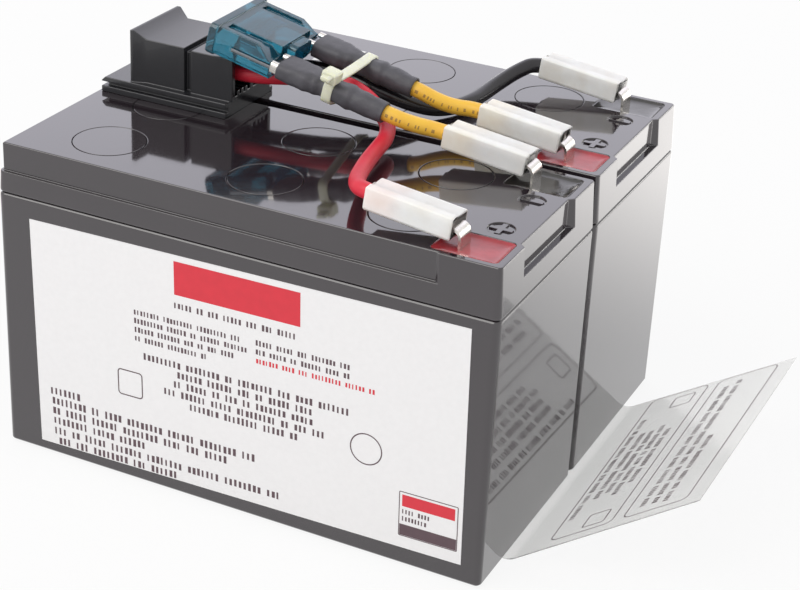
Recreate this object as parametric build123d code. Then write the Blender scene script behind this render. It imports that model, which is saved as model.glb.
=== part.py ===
"""Replacement battery cartridge for an uninterruptible power supply.

Two 12 V lead-acid batteries stand side by side on a pull film. A blade fuse joins them
in series, and a two-pole connector on top carries the leads to the power supply.
The origin is the centre of the underside of the pack: +X runs along the batteries
towards their terminals, +Y runs across them to the back, and +Z is up.
"""

from build123d import *
import math
import os

# Battery case
battery_length = 151.0
battery_width = 65.0
battery_gap = 1.0
case_height = 79.45
case_wall = 2.3
case_floor = 2.5
case_draft = 0.25
foot_chamfer = 0.8
joint_bevel = 0.6
corner_radius = 2.0
partition = 1.6
cells_long = 3
cells_wide = 2

# Battery lid
lid_height = 14.55
lid_draft = 0.8
lid_wall = 3.4
lid_plate = 2.5
skirt_height = 6.35
panel_inset = 1.4
panel_full_from = 57.0
hand_notch_half = 15.75
edge_round = 0.5

# Vent cups in the lid, with their rubber caps and cover discs
vent_columns = (-50.0, -1.0, 41.0)
vent_from_side = 17.4
vent_pocket = 20.6
cover_thickness = 1.2
cover_clearance = 0.2
cup_bore = 18.0
cup_wall = 1.4
cup_depth = 8.3
cup_floor = 1.5
neck_diameter = 7.0
neck_bore = 3.0
neck_height = 5.3
cap_wall = 1.2
cap_height = 6.0
cap_clearance = 0.1

# Terminal wells and polarity marks in the lid
well_start = 54.0
well_length = 18.5
well_width = 13.4
well_from_side = 9.5
well_depth = 10.0
well_radius = 1.5
resin_below_top = 0.9
resin_dish = 0.8
mark_x = 65.2
mark_from_well = 12.9
mark_diameter = 7.4
mark_depth = 0.6

# Plate groups
group_clearance = 0.5
plate_count = 9
plate_thickness = 2.0
separator_rise = 1.5
lug_width = 8.0
strap_width = 13.0
strap_inset = 1.6
strap_end_inset = 1.0
strap_lift = 2.5
strap_height = 4.0
strap_headroom = 4.45
link_width = 8.0
link_clearance = 0.1
post_diameter = 4.6
post_clearance = 0.2
post_above_floor = 2.0

# Terminal tabs, their receptacles and insulating boots
tab_width = 6.35
tab_thickness = 0.8
tab_columns = {"front": 60.6, "rear": 62.4}
tab_offsets = {
    "front_positive": 0.1,
    "front_negative": 0.6,
    "rear_positive": 0.3,
    "rear_negative": -0.8,
}
tab_bend_radius = 2.4
tab_engagement = 7.0
boot_tilt = 7.0
boot_axis_height = 98.35
boot_mouth_set_back = 1.8
boot_length = 24.7
boot_width = 9.6
boot_height = 5.6
boot_rib_width = 2.7
boot_rib_rise = 1.0
boot_edge_chamfer = 0.4
boot_cavity_depth = 17.4
boot_clearance = 0.3
wire_bore_clearance = 0.2
receptacle_metal = 0.4
receptacle_side_play = 0.225
receptacle_roll_radius = 1.0
receptacle_roll_gap = 0.3
receptacle_set_in = 0.5
receptacle_spring_length = 8.4
receptacle_neck_length = 2.6
receptacle_neck_width = 3.6
receptacle_neck_overlap = 1.0
barrel_diameter = 4.2
barrel_length = 6.0

# Connector on the lid
plate_left = -72.9
plate_right = -31.2
plate_front = -17.9
plate_back = 9.2
plate_height_over_lid = 4.6
plate_lip = 1.5
plate_groove = 1.3
plate_groove_depth = 1.5
plate_end_chamfer = 1.2
shell_mouth_x = -63.5
rim_land = 1.3
rim_wall = 1.2
rim_end_x = -58.8
rim_front = -17.0
rim_back = 8.4
rim_top = 20.3
shell_front = -15.6
shell_back = 6.9
shell_top = 17.8
shell_step_x = -46.2
waist_depth = 1.6
rear_body_x = -44.0
rear_body_end = -30.4
rear_body_drop = 0.4
shell_wall = 2.0
socket_floor = 1.0
bulkhead_x = -47.5
bulkhead_thickness = 4.0
bay_wall = 1.8
bay_top = 2.0
bay_floor = 1.2
bay_rib_height = 1.4
bay_rib_thickness = 1.2
bay_ribs = 3
contact_spacing = 10.0
contact_height = 11.3
contact_tip_x = -59.0
contact_width = 6.3
contact_thickness = 1.0
contact_tip_chamfer = 1.2
contact_clearance = 0.1
contact_barrel_end = -36.0

# Blade fuse that joins the two batteries
fuse_tilt = 12.5
fuse_head_x = -35.8
fuse_width = 28.8
fuse_thickness = 8.8
fuse_length = 20.4
fuse_seat_gap = 0.25
fuse_head_length = 2.5
fuse_head_rise = 0.4
fuse_head_chamfer = 1.0
fuse_centre_y = -4.5
fuse_side_inset = 0.3
fuse_upper_inset = 1.2
fuse_upper_depth = 3.0
fuse_lower_height = 2.0
fuse_lower_bevel = 1.5
fuse_slope_from = 15.4
fuse_slope_to = 19.6
fuse_window_half = 8.2
fuse_recess_width = 2.8
fuse_recess_depth = 1.2
fuse_recess_start = 4.0
fuse_skirt_half = 4.8
fuse_skirt_height = 5.4
fuse_skirt_radius = 1.6
fuse_skirt_drop = 0.6
fuse_skirt_reach = 2.6
fuse_skirt_root = 2.5
fuse_probe_y = 6.6
fuse_probe_set_back = 2.0
fuse_probe_diameter = 2.5
fuse_probe_root = 0.4
fuse_probe_height = 1.6
blade_width = 8.0
blade_thickness = 0.9
blade_row = 10.4
blade_start = 8.0
blade_reach = 10.0
blade_chamfer = 1.5
blade_clearance = 0.15
fuse_receptacle_gap = 0.6
element_link_width = 3.0
element_link_neck = 1.4
element_chamber_half = 1.5
element_chamber_play = 2.0
element_chamber_overlap = 1.0

# Heat-shrink sleeves over the fuse receptacles
sleeve_start = 23.2
sleeve_lengths = {"front": 32.3, "rear": 31.1}
sleeve_sections = (
    (0.00, 10.7, 5.4),
    (0.24, 10.6, 6.0),
    (0.35, 8.7, 6.3),
    (0.41, 6.9, 6.0),
    (0.56, 6.9, 6.0),
    (0.66, 7.3, 6.8),
    (0.76, 6.4, 6.4),
    (1.00, 5.9, 5.9),
)
sleeve_corner_share = 0.46
sleeve_clearance = 0.2

# Cable tie round the two sleeves and the leads between them
tie_at = 38.8
tie_width = 4.0
tie_thickness = 1.1
tie_clearance = 0.3
tie_sag = 5.4
tie_corner_ease = 0.6
tie_head_length = 7.0
tie_head_width = 6.4
tie_head_height = 4.4
tie_head_chamfer = 0.6
tie_head_overhang = 1.2
tie_tail_length = 3.0
tie_tail_lift = 1.2

# Leads, with the straight runs at their ends
wire_diameter = 4.5
contact_run_end = -27.5
boot_entry_run = 2.5
sleeve_exit_run = 1.0

# Film, label, sticker and tape
film_thickness = 0.3
film_left = -70.5
film_front = -48.5
film_width = 94.1
film_yaw = 1.66
film_bend_radius = 5.0
film_flap_length = 61.6
film_front_rise = 34.8
film_back_rise = 32.3
film_trim = 8.0
label_length = 133.3
label_height = 70.2
label_thickness = 0.2
label_x = 2.3
label_z = 39.8
label_turn = 1.05
sticker_length = 11.0
sticker_width = 18.4
sticker_x = -28.2
sticker_y = 44.3
sticker_thickness = 0.15
tape_length = 120.0
tape_bottom = 30.0
tape_top = 76.0

# Heights and places that follow from the sizes above
base = film_thickness
lid_top = case_height + lid_height
battery_top = base + lid_top
step_z = case_height + skirt_height
half_length = battery_length / 2
half_width = battery_width / 2
battery_row = (battery_width + battery_gap) / 2
cell_length = (battery_length - 2 * case_wall - (cells_long - 1) * partition) / cells_long
cell_width = (battery_width - 2 * case_wall - (cells_wide - 1) * partition) / cells_wide
cell_columns = [(i - (cells_long - 1) / 2) * (cell_length + partition) for i in range(cells_long)]
cell_rows = [(j - (cells_wide - 1) / 2) * (cell_width + partition) for j in range(cells_wide)]
group_length = cell_length - 2 * group_clearance
group_depth = cell_width - 2 * group_clearance
separator_thickness = (group_depth - plate_count * plate_thickness) / (plate_count - 1)
separator_height = case_height - case_floor - strap_lift - strap_height - strap_headroom
plate_height = separator_height - separator_rise
strap_z = case_floor + separator_height + strap_lift
strap_x = group_length / 2 - strap_inset - strap_width / 2
strap_length = group_depth - 2 * strap_end_inset
vent_row = half_width - vent_from_side
well_row = half_width - well_from_side
mark_row = well_row - mark_from_well
tab_rows = {
    name: (-well_row if name.endswith("positive") else well_row) + offset
    for name, offset in tab_offsets.items()
}
well_floor_z = lid_top - well_depth
post_top = well_floor_z + post_above_floor
cover_diameter = vent_pocket - 2 * cover_clearance
cup_floor_z = lid_top - cover_thickness - cup_depth
neck_top = cup_floor_z + neck_height

ACROSS = Plane(origin=(0, 0, 0), x_dir=(0, 1, 0), z_dir=(1, 0, 0))
BOTTOM = (Align.CENTER, Align.CENTER, Align.MIN)
TOP = (Align.CENTER, Align.CENTER, Align.MAX)
LEFT = (Align.MIN, Align.CENTER, Align.CENTER)


def block(x, y, z):
    """Box between two corners, given as (low, high) along each axis."""
    return Pos(x[0], y[0], z[0]) * Box(x[1] - x[0], y[1] - y[0], z[1] - z[0], align=Align.MIN)


def drafted_block(z_low, height, draft):
    """Block of the battery's plan with rounded upright edges, drawn in by the draft at its far end."""
    plan = RectangleRounded(battery_length, battery_width, corner_radius)
    taper = math.degrees(math.atan(draft / abs(height)))
    return extrude(Pos(0, 0, z_low) * plan, amount=height, taper=taper)


def vent_places():
    return [(x, side * vent_row) for x in vent_columns for side in (-1, 1)]


def link_places():
    """Centre, direction along the link and span of the five joints between cells."""
    places = []
    end_gap = group_clearance + strap_inset
    for row in cell_rows:
        for left, right in zip(cell_columns, cell_columns[1:]):
            places.append(((left + right) / 2, row, "x", partition + 2 * end_gap))
    turn_gap = group_clearance + strap_end_inset
    places.append((cell_columns[0] - strap_x, 0, "y", partition + 2 * turn_gap))
    return places


def link_block(place, clearance):
    x, y, direction, span = place
    width = link_width + 2 * clearance
    height = strap_height + 2 * clearance
    size = (span, width, height) if direction == "x" else (width, span, height)
    return Pos(x, y, strap_z + strap_height / 2) * Box(*size)


def make_case():
    """Open box with a partition between the cells."""
    case = drafted_block(case_height, -case_height, case_draft)
    case = chamfer(case.faces().sort_by(Axis.Z)[0].edges(), foot_chamfer)
    case = chamfer(case.faces().sort_by(Axis.Z)[-1].edges(), joint_bevel)
    for x in cell_columns:
        for y in cell_rows:
            cell = Box(cell_length, cell_width, case_height, align=BOTTOM)
            case -= Pos(x, y, case_floor) * cell
    for place in link_places():
        case -= link_block(place, link_clearance)
    return case


def lid_panel_outline():
    """Plan of the raised panel: set in at the front, back and left, full at the right."""
    inset_y = half_width - panel_inset
    full_x = panel_full_from + panel_inset
    notch_x = half_length - lid_draft - panel_inset
    over = 5.0
    notch_end = hand_notch_half + panel_inset + over
    upper = [
        (-half_length + panel_inset, inset_y),
        (panel_full_from, inset_y),
        (full_x, half_width),
        (full_x, half_width + over),
        (half_length + over, half_width + over),
        (half_length + over, notch_end),
        (notch_x, hand_notch_half),
    ]
    lower = [(x, -y) for x, y in reversed(upper)]
    return make_face(Polyline(*upper, *lower, close=True))


def make_lid():
    """Lid with a raised panel, vent cups, terminal wells and ribs over the partitions."""
    outer = drafted_block(case_height, lid_height, lid_draft)
    panel = extrude(Pos(0, 0, step_z) * lid_panel_outline(), amount=lid_height)
    slab = Pos(0, 0, step_z) * Box(battery_length, battery_width, lid_height, align=TOP)
    lid = (outer & slab) + (outer & panel)
    lid = fillet(lid.faces().sort_by(Axis.Z)[-1].edges(), edge_round)
    lid = chamfer(lid.faces().sort_by(Axis.Z)[0].edges(), joint_bevel)

    inner_x = half_length - lid_wall
    inner_y = half_width - lid_wall
    inner = block((-inner_x, inner_x), (-inner_y, inner_y), (case_height, lid_top - lid_plate))
    for x in (cell_columns[0] + cell_columns[1], cell_columns[1] + cell_columns[2]):
        inner -= Pos(x / 2, 0, case_height) * Box(partition, battery_width, lid_height, align=BOTTOM)
    inner -= Pos(0, 0, case_height) * Box(battery_length, partition, lid_height, align=BOTTOM)
    cup_height = lid_top - cup_floor_z + cup_floor
    cup = Cylinder(cup_bore / 2 + cup_wall, cup_height, align=TOP)
    for x, y in vent_places():
        inner -= Pos(x, y, lid_top) * cup
    well_cup = Box(
        well_length + 2 * cup_wall, well_width + 2 * cup_wall, well_depth + cup_floor, align=TOP
    )
    well_x = well_start + well_length / 2
    for side in (-1, 1):
        inner -= Pos(well_x, side * well_row, lid_top) * well_cup
    lid -= inner

    for x, y in vent_places():
        lid -= Pos(x, y, lid_top) * Cylinder(vent_pocket / 2, cover_thickness, align=TOP)
        hollow = Cylinder(cup_bore / 2, cup_depth, align=BOTTOM)
        hollow -= Cylinder(neck_diameter / 2, neck_height, align=BOTTOM)
        lid -= Pos(x, y, cup_floor_z) * hollow
        lid -= Pos(x, y, case_height) * Cylinder(neck_bore / 2, neck_top - case_height, align=BOTTOM)
    for side in (-1, 1):
        lid -= well_fill(side, lid_top)
        mark = Cylinder(mark_diameter / 2, mark_depth, align=TOP)
        lid -= Pos(mark_x, side * mark_row, lid_top) * mark
    return lid


def well_fill(side, top_z):
    """Room of one terminal well up to a height."""
    outline = RectangleRounded(well_length, well_width, well_radius)
    place = Pos(well_start + well_length / 2, side * well_row, well_floor_z)
    return place * extrude(outline, amount=top_z - well_floor_z)


def make_covers():
    disc = Cylinder(cover_diameter / 2, cover_thickness, align=TOP)
    return [Pos(x, y, lid_top) * disc for x, y in vent_places()]


def make_caps():
    """Rubber caps, each seated on the neck of its vent cup."""
    bore = neck_diameter / 2 + cap_clearance
    cap = Cylinder(bore + cap_wall, cap_height, align=TOP)
    cap -= Pos(0, 0, -cap_wall) * Cylinder(bore, cap_height, align=TOP)
    return [Pos(x, y, neck_top + cap_wall) * cap for x, y in vent_places()]


def make_group(row, post_place=None):
    """Stack of plates and separators under two cast straps, with a post if it ends the row."""
    pitch = plate_thickness + separator_thickness
    group = block(
        (-group_length / 2, group_length / 2), (-group_depth / 2, group_depth / 2), (0, plate_height)
    )
    sides = (1, -1) if row < 0 else (-1, 1)
    for i in range(plate_count):
        y = -group_depth / 2 + plate_thickness / 2 + i * pitch
        side = sides[i % 2]
        lug_height = separator_height + strap_lift - plate_height
        lug = Box(lug_width, plate_thickness, lug_height, align=BOTTOM)
        group += Pos(side * strap_x, y, plate_height) * lug
        if i < plate_count - 1:
            edge_height = separator_height - plate_height
            separator = Box(group_length, separator_thickness, edge_height, align=BOTTOM)
            group += Pos(0, y + pitch / 2, plate_height) * separator
    for side in (-1, 1):
        strap = Box(strap_width, strap_length, strap_height, align=BOTTOM)
        group += Pos(side * strap_x, 0, strap_z - case_floor) * strap
    if post_place:
        x = post_place[0] - cell_columns[-1]
        y = post_place[1] - row
        z = strap_z + strap_height - case_floor
        post = Cylinder(post_diameter / 2, post_top - strap_z - strap_height, align=BOTTOM)
        group += Pos(x, y, z) * post
    return group


def boot_plane(name):
    """Frame of a boot: origin at the middle of its mouth, +X along the boot to its tail."""
    battery = name.split("_")[0]
    tilt = math.radians(boot_tilt)
    x = tab_columns[battery] - boot_mouth_set_back
    y = (battery_row if battery == "rear" else -battery_row) + tab_rows[name]
    z = base + boot_axis_height
    x_dir = (-math.cos(tilt), 0, math.sin(tilt))
    z_dir = (math.sin(tilt), 0, math.cos(tilt))
    return Plane(origin=(x, y, z), x_dir=x_dir, z_dir=z_dir)


def fuse_plane():
    """Frame of the fuse: origin on its top edge at the head, +X along it to the blades.

    The underside of the fuse leans on the upper right edge of the connector.
    """
    tilt = math.radians(fuse_tilt)
    seat_z = battery_top + shell_top - rear_body_drop + fuse_seat_gap
    drop = (rear_body_end - fuse_head_x) * math.tan(tilt)
    top_z = seat_z + drop + fuse_thickness / math.cos(tilt)
    x_dir = (math.cos(tilt), 0, -math.sin(tilt))
    z_dir = (math.sin(tilt), 0, math.cos(tilt))
    return Plane(origin=(fuse_head_x, fuse_centre_y, top_z), x_dir=x_dir, z_dir=z_dir)


def make_tab(name, plane):
    """Bent spade tab, from the top of its post to inside its receptacle."""
    x = tab_columns[name.split("_")[0]]
    y = plane.origin.Y
    corner_z = plane.origin.Z - boot_mouth_set_back * math.tan(math.radians(boot_tilt))
    tip = plane.from_local_coords(Vector(tab_engagement, 0, 0))
    path = FilletPolyline((x, y, base + post_top), (x, y, corner_z), tip, radius=tab_bend_radius)
    foot = Plane(origin=path @ 0, x_dir=(0, 1, 0), z_dir=(0, 0, 1))
    return sweep(foot * Rectangle(tab_width, tab_thickness), path=path)


def make_seal(name):
    """Resin that fills a terminal well round the tab, with a dished top."""
    side = -1 if name.endswith("positive") else 1
    top_z = lid_top - resin_below_top
    resin = well_fill(side, top_z)
    reach = math.hypot(well_length, well_width) / 2
    dish_radius = (reach**2 + resin_dish**2) / (2 * resin_dish)
    centre = (well_start + well_length / 2, side * well_row, top_z + dish_radius - resin_dish)
    resin -= Pos(*centre) * Sphere(dish_radius)
    x = tab_columns[name.split("_")[0]]
    y = tab_rows[name]
    post = Cylinder(post_diameter / 2 + post_clearance, post_above_floor, align=BOTTOM)
    resin -= Pos(x, y, well_floor_z) * post
    resin -= Pos(x, y, post_top) * Box(tab_thickness, tab_width, well_depth, align=BOTTOM)
    return resin


def receptacle_profile(width, thickness):
    """Section of a spring receptacle: a flat base whose edges roll over the blade."""
    half = width / 2 + receptacle_side_play + receptacle_metal / 2
    floor_z = -thickness / 2 - receptacle_metal / 2
    roll_z = floor_z + thickness + receptacle_metal + receptacle_roll_gap
    roll_x = half - receptacle_roll_radius
    right = Line((0, floor_z), (half, floor_z)) + Line((half, floor_z), (half, roll_z))
    roll = CenterArc((roll_x, roll_z), receptacle_roll_radius, 0, 180)
    left = [mirror(edge, about=Plane.YZ) for edge in (*right.edges(), *roll.edges())]
    return [*right.edges(), *roll.edges(), *left]


def make_receptacle(plane, width, thickness, spring_start):
    """Stamped receptacle: a rolled spring box, a neck and a closed crimp barrel."""
    profile = trace(receptacle_profile(width, thickness), receptacle_metal)
    spring = extrude(ACROSS.offset(spring_start) * profile, amount=receptacle_spring_length)
    neck_start = spring_start + receptacle_spring_length
    barrel_start = neck_start + receptacle_neck_length
    floor_z = -thickness / 2 - receptacle_metal
    neck = block(
        (neck_start - receptacle_neck_overlap, barrel_start + receptacle_neck_overlap),
        (-receptacle_neck_width / 2, receptacle_neck_width / 2),
        (floor_z, floor_z + receptacle_metal),
    )
    barrel = extrude(ACROSS.offset(barrel_start) * Circle(barrel_diameter / 2), amount=barrel_length)
    return plane.from_local_coords(spring + neck + barrel)


def barrel_end(spring_start):
    return spring_start + receptacle_spring_length + receptacle_neck_length + barrel_length


def make_boot(plane):
    """Nylon boot: a box with a raised rib along one edge, open at the mouth and bored at the tail."""
    half = boot_width / 2
    low = -boot_height / 2
    high = boot_height / 2
    rib = half - boot_rib_width
    outline = make_face(
        Polyline(
            (-half, low),
            (half, low),
            (half, high + boot_rib_rise),
            (rib, high + boot_rib_rise),
            (rib - boot_rib_rise, high),
            (-half, high),
            close=True,
        )
    )
    boot = extrude(ACROSS * outline, amount=boot_length)
    boot = chamfer(boot.edges().filter_by(Axis.X).group_by(Axis.Z)[0], boot_edge_chamfer)
    floor_z = -tab_thickness / 2 - receptacle_metal - boot_clearance
    roof_z = receptacle_roof(tab_thickness) + boot_clearance
    side = tab_width / 2 + receptacle_side_play + receptacle_metal + boot_clearance
    cavity = block((0, boot_cavity_depth), (-side, side), (floor_z, roof_z))
    bore = extrude(ACROSS * Circle(wire_diameter / 2 + wire_bore_clearance), amount=boot_length)
    return plane.from_local_coords(boot - cavity - bore)


def receptacle_roof(thickness):
    return thickness / 2 + receptacle_roll_gap + receptacle_roll_radius + receptacle_metal / 2


def shell_section(x, front, back, bottom, top):
    """Rectangle across the connector at one x, between two sides and two heights."""
    centre = (x, (front + back) / 2, (bottom + top) / 2)
    return Plane(origin=centre, x_dir=(0, 1, 0), z_dir=(1, 0, 0)) * Rectangle(back - front, top - bottom)


def contact_rows():
    middle = (shell_front + shell_back) / 2
    return {"red": middle - contact_spacing / 2, "black": middle + contact_spacing / 2}


def make_connector():
    """Connector housing: grooved base plate, flared mating shell, waist and rear body with bays."""
    z0 = battery_top
    plate_top = z0 + plate_height_over_lid
    front = plate_front
    back = plate_back
    housing = block((plate_left, plate_right), (front, back), (z0, plate_top))
    left_edge = housing.edges().filter_by(Axis.Y).sort_by(Axis.Z)[-2:].sort_by(Axis.X)[0]
    housing = chamfer(left_edge, plate_end_chamfer)
    groove_top = plate_top - plate_lip
    groove = block(
        (plate_left - 1, plate_right),
        (front - 1, back + 1),
        (groove_top - plate_groove, groove_top),
    )
    groove -= block(
        (plate_left + plate_groove_depth, plate_right),
        (front + plate_groove_depth, back - plate_groove_depth),
        (z0, plate_top),
    )
    housing -= groove

    top = z0 + shell_top
    rim_high = z0 + rim_top
    rim_flat = shell_section(shell_mouth_x, rim_front, rim_back, plate_top, rim_high)
    housing += extrude(rim_flat, amount=rim_land)
    flare = [
        shell_section(shell_mouth_x + rim_land, rim_front, rim_back, plate_top, rim_high),
        shell_section(rim_end_x, shell_front, shell_back, plate_top, top),
    ]
    housing += loft(flare, ruled=True)
    housing += block((rim_end_x, shell_step_x), (shell_front, shell_back), (plate_top, top))
    housing += block(
        (shell_step_x, rear_body_x),
        (shell_front + waist_depth, shell_back - waist_depth),
        (plate_top, top - waist_depth),
    )
    housing += block(
        (rear_body_x, rear_body_end), (shell_front, shell_back), (plate_top, top - rear_body_drop)
    )

    socket_low = plate_top + socket_floor
    socket_high = top - shell_wall
    inner_front = shell_front + shell_wall
    inner_back = shell_back - shell_wall
    housing -= block(
        (shell_mouth_x, bulkhead_x), (inner_front, inner_back), (socket_low, socket_high)
    )
    mouth_front = rim_front + rim_wall
    mouth_back = rim_back - rim_wall
    mouth = [
        shell_section(shell_mouth_x, mouth_front, mouth_back, socket_low, rim_high - rim_wall),
        shell_section(rim_end_x, inner_front, inner_back, socket_low, socket_high),
    ]
    housing -= loft(mouth, ruled=True)

    bay_start = bulkhead_x + bulkhead_thickness
    middle = (shell_front + shell_back) / 2
    for side in (-1, 1):
        outer = middle + side * ((shell_back - shell_front) / 2 - bay_wall)
        inner = middle + side * bay_wall / 2
        bay = block(
            (bay_start, rear_body_end),
            (min(outer, inner), max(outer, inner)),
            (plate_top + bay_floor, top - rear_body_drop - bay_top),
        )
        rib_pitch = (max(outer, inner) - min(outer, inner)) / (bay_ribs + 1)
        for i in range(bay_ribs):
            y = min(outer, inner) + (i + 1) * rib_pitch
            bay -= block(
                (bay_start, rear_body_end),
                (y - bay_rib_thickness / 2, y + bay_rib_thickness / 2),
                (plate_top + bay_floor, plate_top + bay_floor + bay_rib_height),
            )
        housing -= bay
    for y in contact_rows().values():
        slot = Box(
            bulkhead_thickness,
            contact_width + 2 * contact_clearance,
            contact_thickness + 2 * contact_clearance,
            align=LEFT,
        )
        housing -= Pos(bulkhead_x, y, z0 + contact_height) * slot
    return housing


def make_contact(y):
    """Flat pin with a bevelled tip, joined to a crimp barrel behind the bulkhead."""
    z = battery_top + contact_height
    barrel_start = bulkhead_x + bulkhead_thickness
    pin = Pos((contact_tip_x + barrel_start) / 2, y, z) * Box(
        barrel_start - contact_tip_x, contact_width, contact_thickness
    )
    pin = chamfer(pin.edges().filter_by(Axis.Z).sort_by(Axis.X)[:2], contact_tip_chamfer)
    length = contact_barrel_end - barrel_start
    barrel_plane = Plane(origin=(barrel_start, y, z), x_dir=(0, 1, 0), z_dir=(1, 0, 0))
    return pin + extrude(barrel_plane * Circle(barrel_diameter / 2), amount=length)


def make_fuse_housing(plane):
    """Fuse body: head bar, bevelled wings that slope down to the blade feet, window and skirt."""
    half = fuse_width / 2
    wing = half - fuse_side_inset
    top_half = wing - fuse_upper_inset
    section = make_face(
        Polyline(
            (-top_half, 0),
            (-wing, -fuse_upper_depth),
            (-wing, -fuse_thickness + fuse_lower_height),
            (-wing + fuse_lower_bevel, -fuse_thickness),
            (wing - fuse_lower_bevel, -fuse_thickness),
            (wing, -fuse_thickness + fuse_lower_height),
            (wing, -fuse_upper_depth),
            (top_half, 0),
            close=True,
        )
    )
    body = extrude(ACROSS * section, amount=fuse_length)
    slope = make_face(
        Polyline(
            (fuse_slope_from, 1),
            (fuse_slope_from, 0),
            (fuse_slope_to, -fuse_upper_depth),
            (fuse_length + 1, -fuse_upper_depth),
            (fuse_length + 1, 1),
            close=True,
        )
    )
    wing_depth = half - fuse_window_half
    for side in (-1, 1):
        start = fuse_window_half if side > 0 else -half
        cut = extrude(Plane.XZ.offset(-start - wing_depth) * slope, amount=wing_depth)
        body -= cut
        recess_y = sorted((side * fuse_window_half, side * (fuse_window_half + fuse_recess_width)))
        body -= block((fuse_recess_start, fuse_slope_to), recess_y, (-fuse_recess_depth, 1))
    head = block((0, fuse_head_length), (-half, half), (-fuse_thickness, fuse_head_rise))
    head = chamfer(head.edges().filter_by(Axis.X), fuse_head_chamfer)
    skirt = RectangleRounded(2 * fuse_skirt_half, fuse_skirt_height, fuse_skirt_radius)
    skirt = Pos(0, -fuse_skirt_height / 2 - fuse_skirt_drop) * skirt
    skirt_start = ACROSS.offset(fuse_length - fuse_skirt_root)
    body += head + extrude(skirt_start * skirt, amount=fuse_skirt_reach + fuse_skirt_root)
    probe_x = fuse_length - fuse_probe_set_back
    for side in (-1, 1):
        probe = Cylinder(fuse_probe_diameter / 2, fuse_probe_height, align=BOTTOM)
        body += Pos(probe_x, side * fuse_probe_y, -fuse_upper_depth - fuse_probe_root) * probe

    plane_z = -fuse_thickness / 2
    gap = blade_clearance
    for side in (-1, 1):
        y = side * blade_row
        body -= block(
            (blade_start - gap, fuse_length),
            (y - blade_width / 2 - gap, y + blade_width / 2 + gap),
            (plane_z - blade_thickness / 2 - gap, plane_z + blade_thickness / 2 + gap),
        )
    inner = blade_row - blade_width / 2 + element_chamber_overlap
    body -= block(
        (blade_start - gap, blade_start + element_link_width + element_chamber_play),
        (-inner, inner),
        (plane_z - element_chamber_half, plane_z + element_chamber_half),
    )
    return plane.from_local_coords(body)


def make_fuse_element(plane):
    """Stamped zinc element: two blades joined by a link with a thin neck."""
    plane_z = -fuse_thickness / 2
    thick = (plane_z - blade_thickness / 2, plane_z + blade_thickness / 2)
    tip = fuse_length + blade_reach
    element = None
    for side in (-1, 1):
        y = side * blade_row
        blade = block((blade_start, tip), (y - blade_width / 2, y + blade_width / 2), thick)
        blade = chamfer(blade.edges().filter_by(Axis.Z).sort_by(Axis.X)[-2:], blade_chamfer)
        element = blade if element is None else element + blade
    inner = blade_row - blade_width / 2
    link = block((blade_start, blade_start + element_link_width), (-inner, inner), thick)
    notch = (element_link_width - element_link_neck) / 2
    for x in (blade_start, blade_start + element_link_width):
        link -= Pos(x, 0, plane_z) * Cylinder(notch, fuse_thickness)
    return plane.from_local_coords(element + link)


def fuse_end_plane(row):
    """Frame of one fuse blade: origin on its middle line at the head, +X along it."""
    plane = fuse_plane()
    origin = plane.from_local_coords(Vector(0, row, -fuse_thickness / 2))
    return Plane(origin=origin, x_dir=plane.x_dir, z_dir=plane.z_dir)


def make_sleeve(plane, length):
    """Shrunk sleeve: wide over the receptacle, pinched under the tie, round over the wire."""
    sections = []
    for share, width, height in sleeve_sections:
        at = ACROSS.offset(sleeve_start + share * length)
        radius = sleeve_corner_share * min(width, height)
        sections.append(at * RectangleRounded(width, height, radius))
    sleeve = loft(sections, ruled=True)
    floor_z = -blade_thickness / 2 - receptacle_metal - sleeve_clearance
    roof_z = receptacle_roof(blade_thickness) + sleeve_clearance
    side = blade_width / 2 + receptacle_side_play + receptacle_metal + sleeve_clearance
    blade_tip = fuse_length + blade_reach
    cavity = block((sleeve_start, blade_tip + sleeve_clearance), (-side, side), (floor_z, roof_z))
    bore_radius = wire_diameter / 2 + wire_bore_clearance / 2
    bore = extrude(ACROSS.offset(sleeve_start) * Circle(bore_radius), amount=length)
    return plane.from_local_coords(sleeve - cavity - bore)


def make_tie(plane):
    """Cable tie: a loop round both sleeves and the black lead under them, with its ratchet head."""
    pinch = sleeve_sections[3]
    half_wide = blade_row + pinch[1] / 2 + tie_clearance
    middle = -fuse_thickness / 2
    high = middle + pinch[2] / 2 + tie_clearance
    low = middle - pinch[2] / 2 - tie_clearance
    corners = [
        (-half_wide, high),
        (half_wide, high),
        (half_wide, low - tie_sag),
        (half_wide - wire_diameter - 2 * tie_clearance, low - tie_sag),
        (-half_wide, low),
    ]
    inner = make_face(Polyline(*corners, close=True))
    inner = fillet(inner.vertices(), pinch[2] / 2 - tie_corner_ease)
    outer = offset(inner, tie_thickness, kind=Kind.ARC)
    tie = extrude(ACROSS.offset(tie_at - tie_width / 2) * (outer - inner), amount=tie_width)
    head_y = -half_wide - tie_thickness - tie_head_overhang
    head = block(
        (tie_at - tie_head_length / 2, tie_at + tie_head_length / 2),
        (head_y, head_y + tie_head_width),
        (high, high + tie_head_height),
    )
    head = chamfer(head.edges().filter_by(Axis.X), tie_head_chamfer)
    stub = block(
        (tie_at - tie_width / 2, tie_at + tie_width / 2),
        (head_y - tie_tail_length, head_y + tie_head_overhang),
        (high + tie_tail_lift, high + tie_tail_lift + tie_thickness),
    )
    return plane.from_local_coords(tie + head + stub)


def corner_radii(points):
    """Largest tangent arc at each inner point: 0.45 of the shorter run over tan(half the turn)."""
    radii = []
    for before, at, after in zip(points, points[1:], points[2:]):
        first = Vector(*at) - Vector(*before)
        second = Vector(*after) - Vector(*at)
        half_turn = math.radians(first.get_angle(second)) / 2
        radii.append(0.45 * min(first.length, second.length) / math.tan(half_turn))
    return radii


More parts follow.
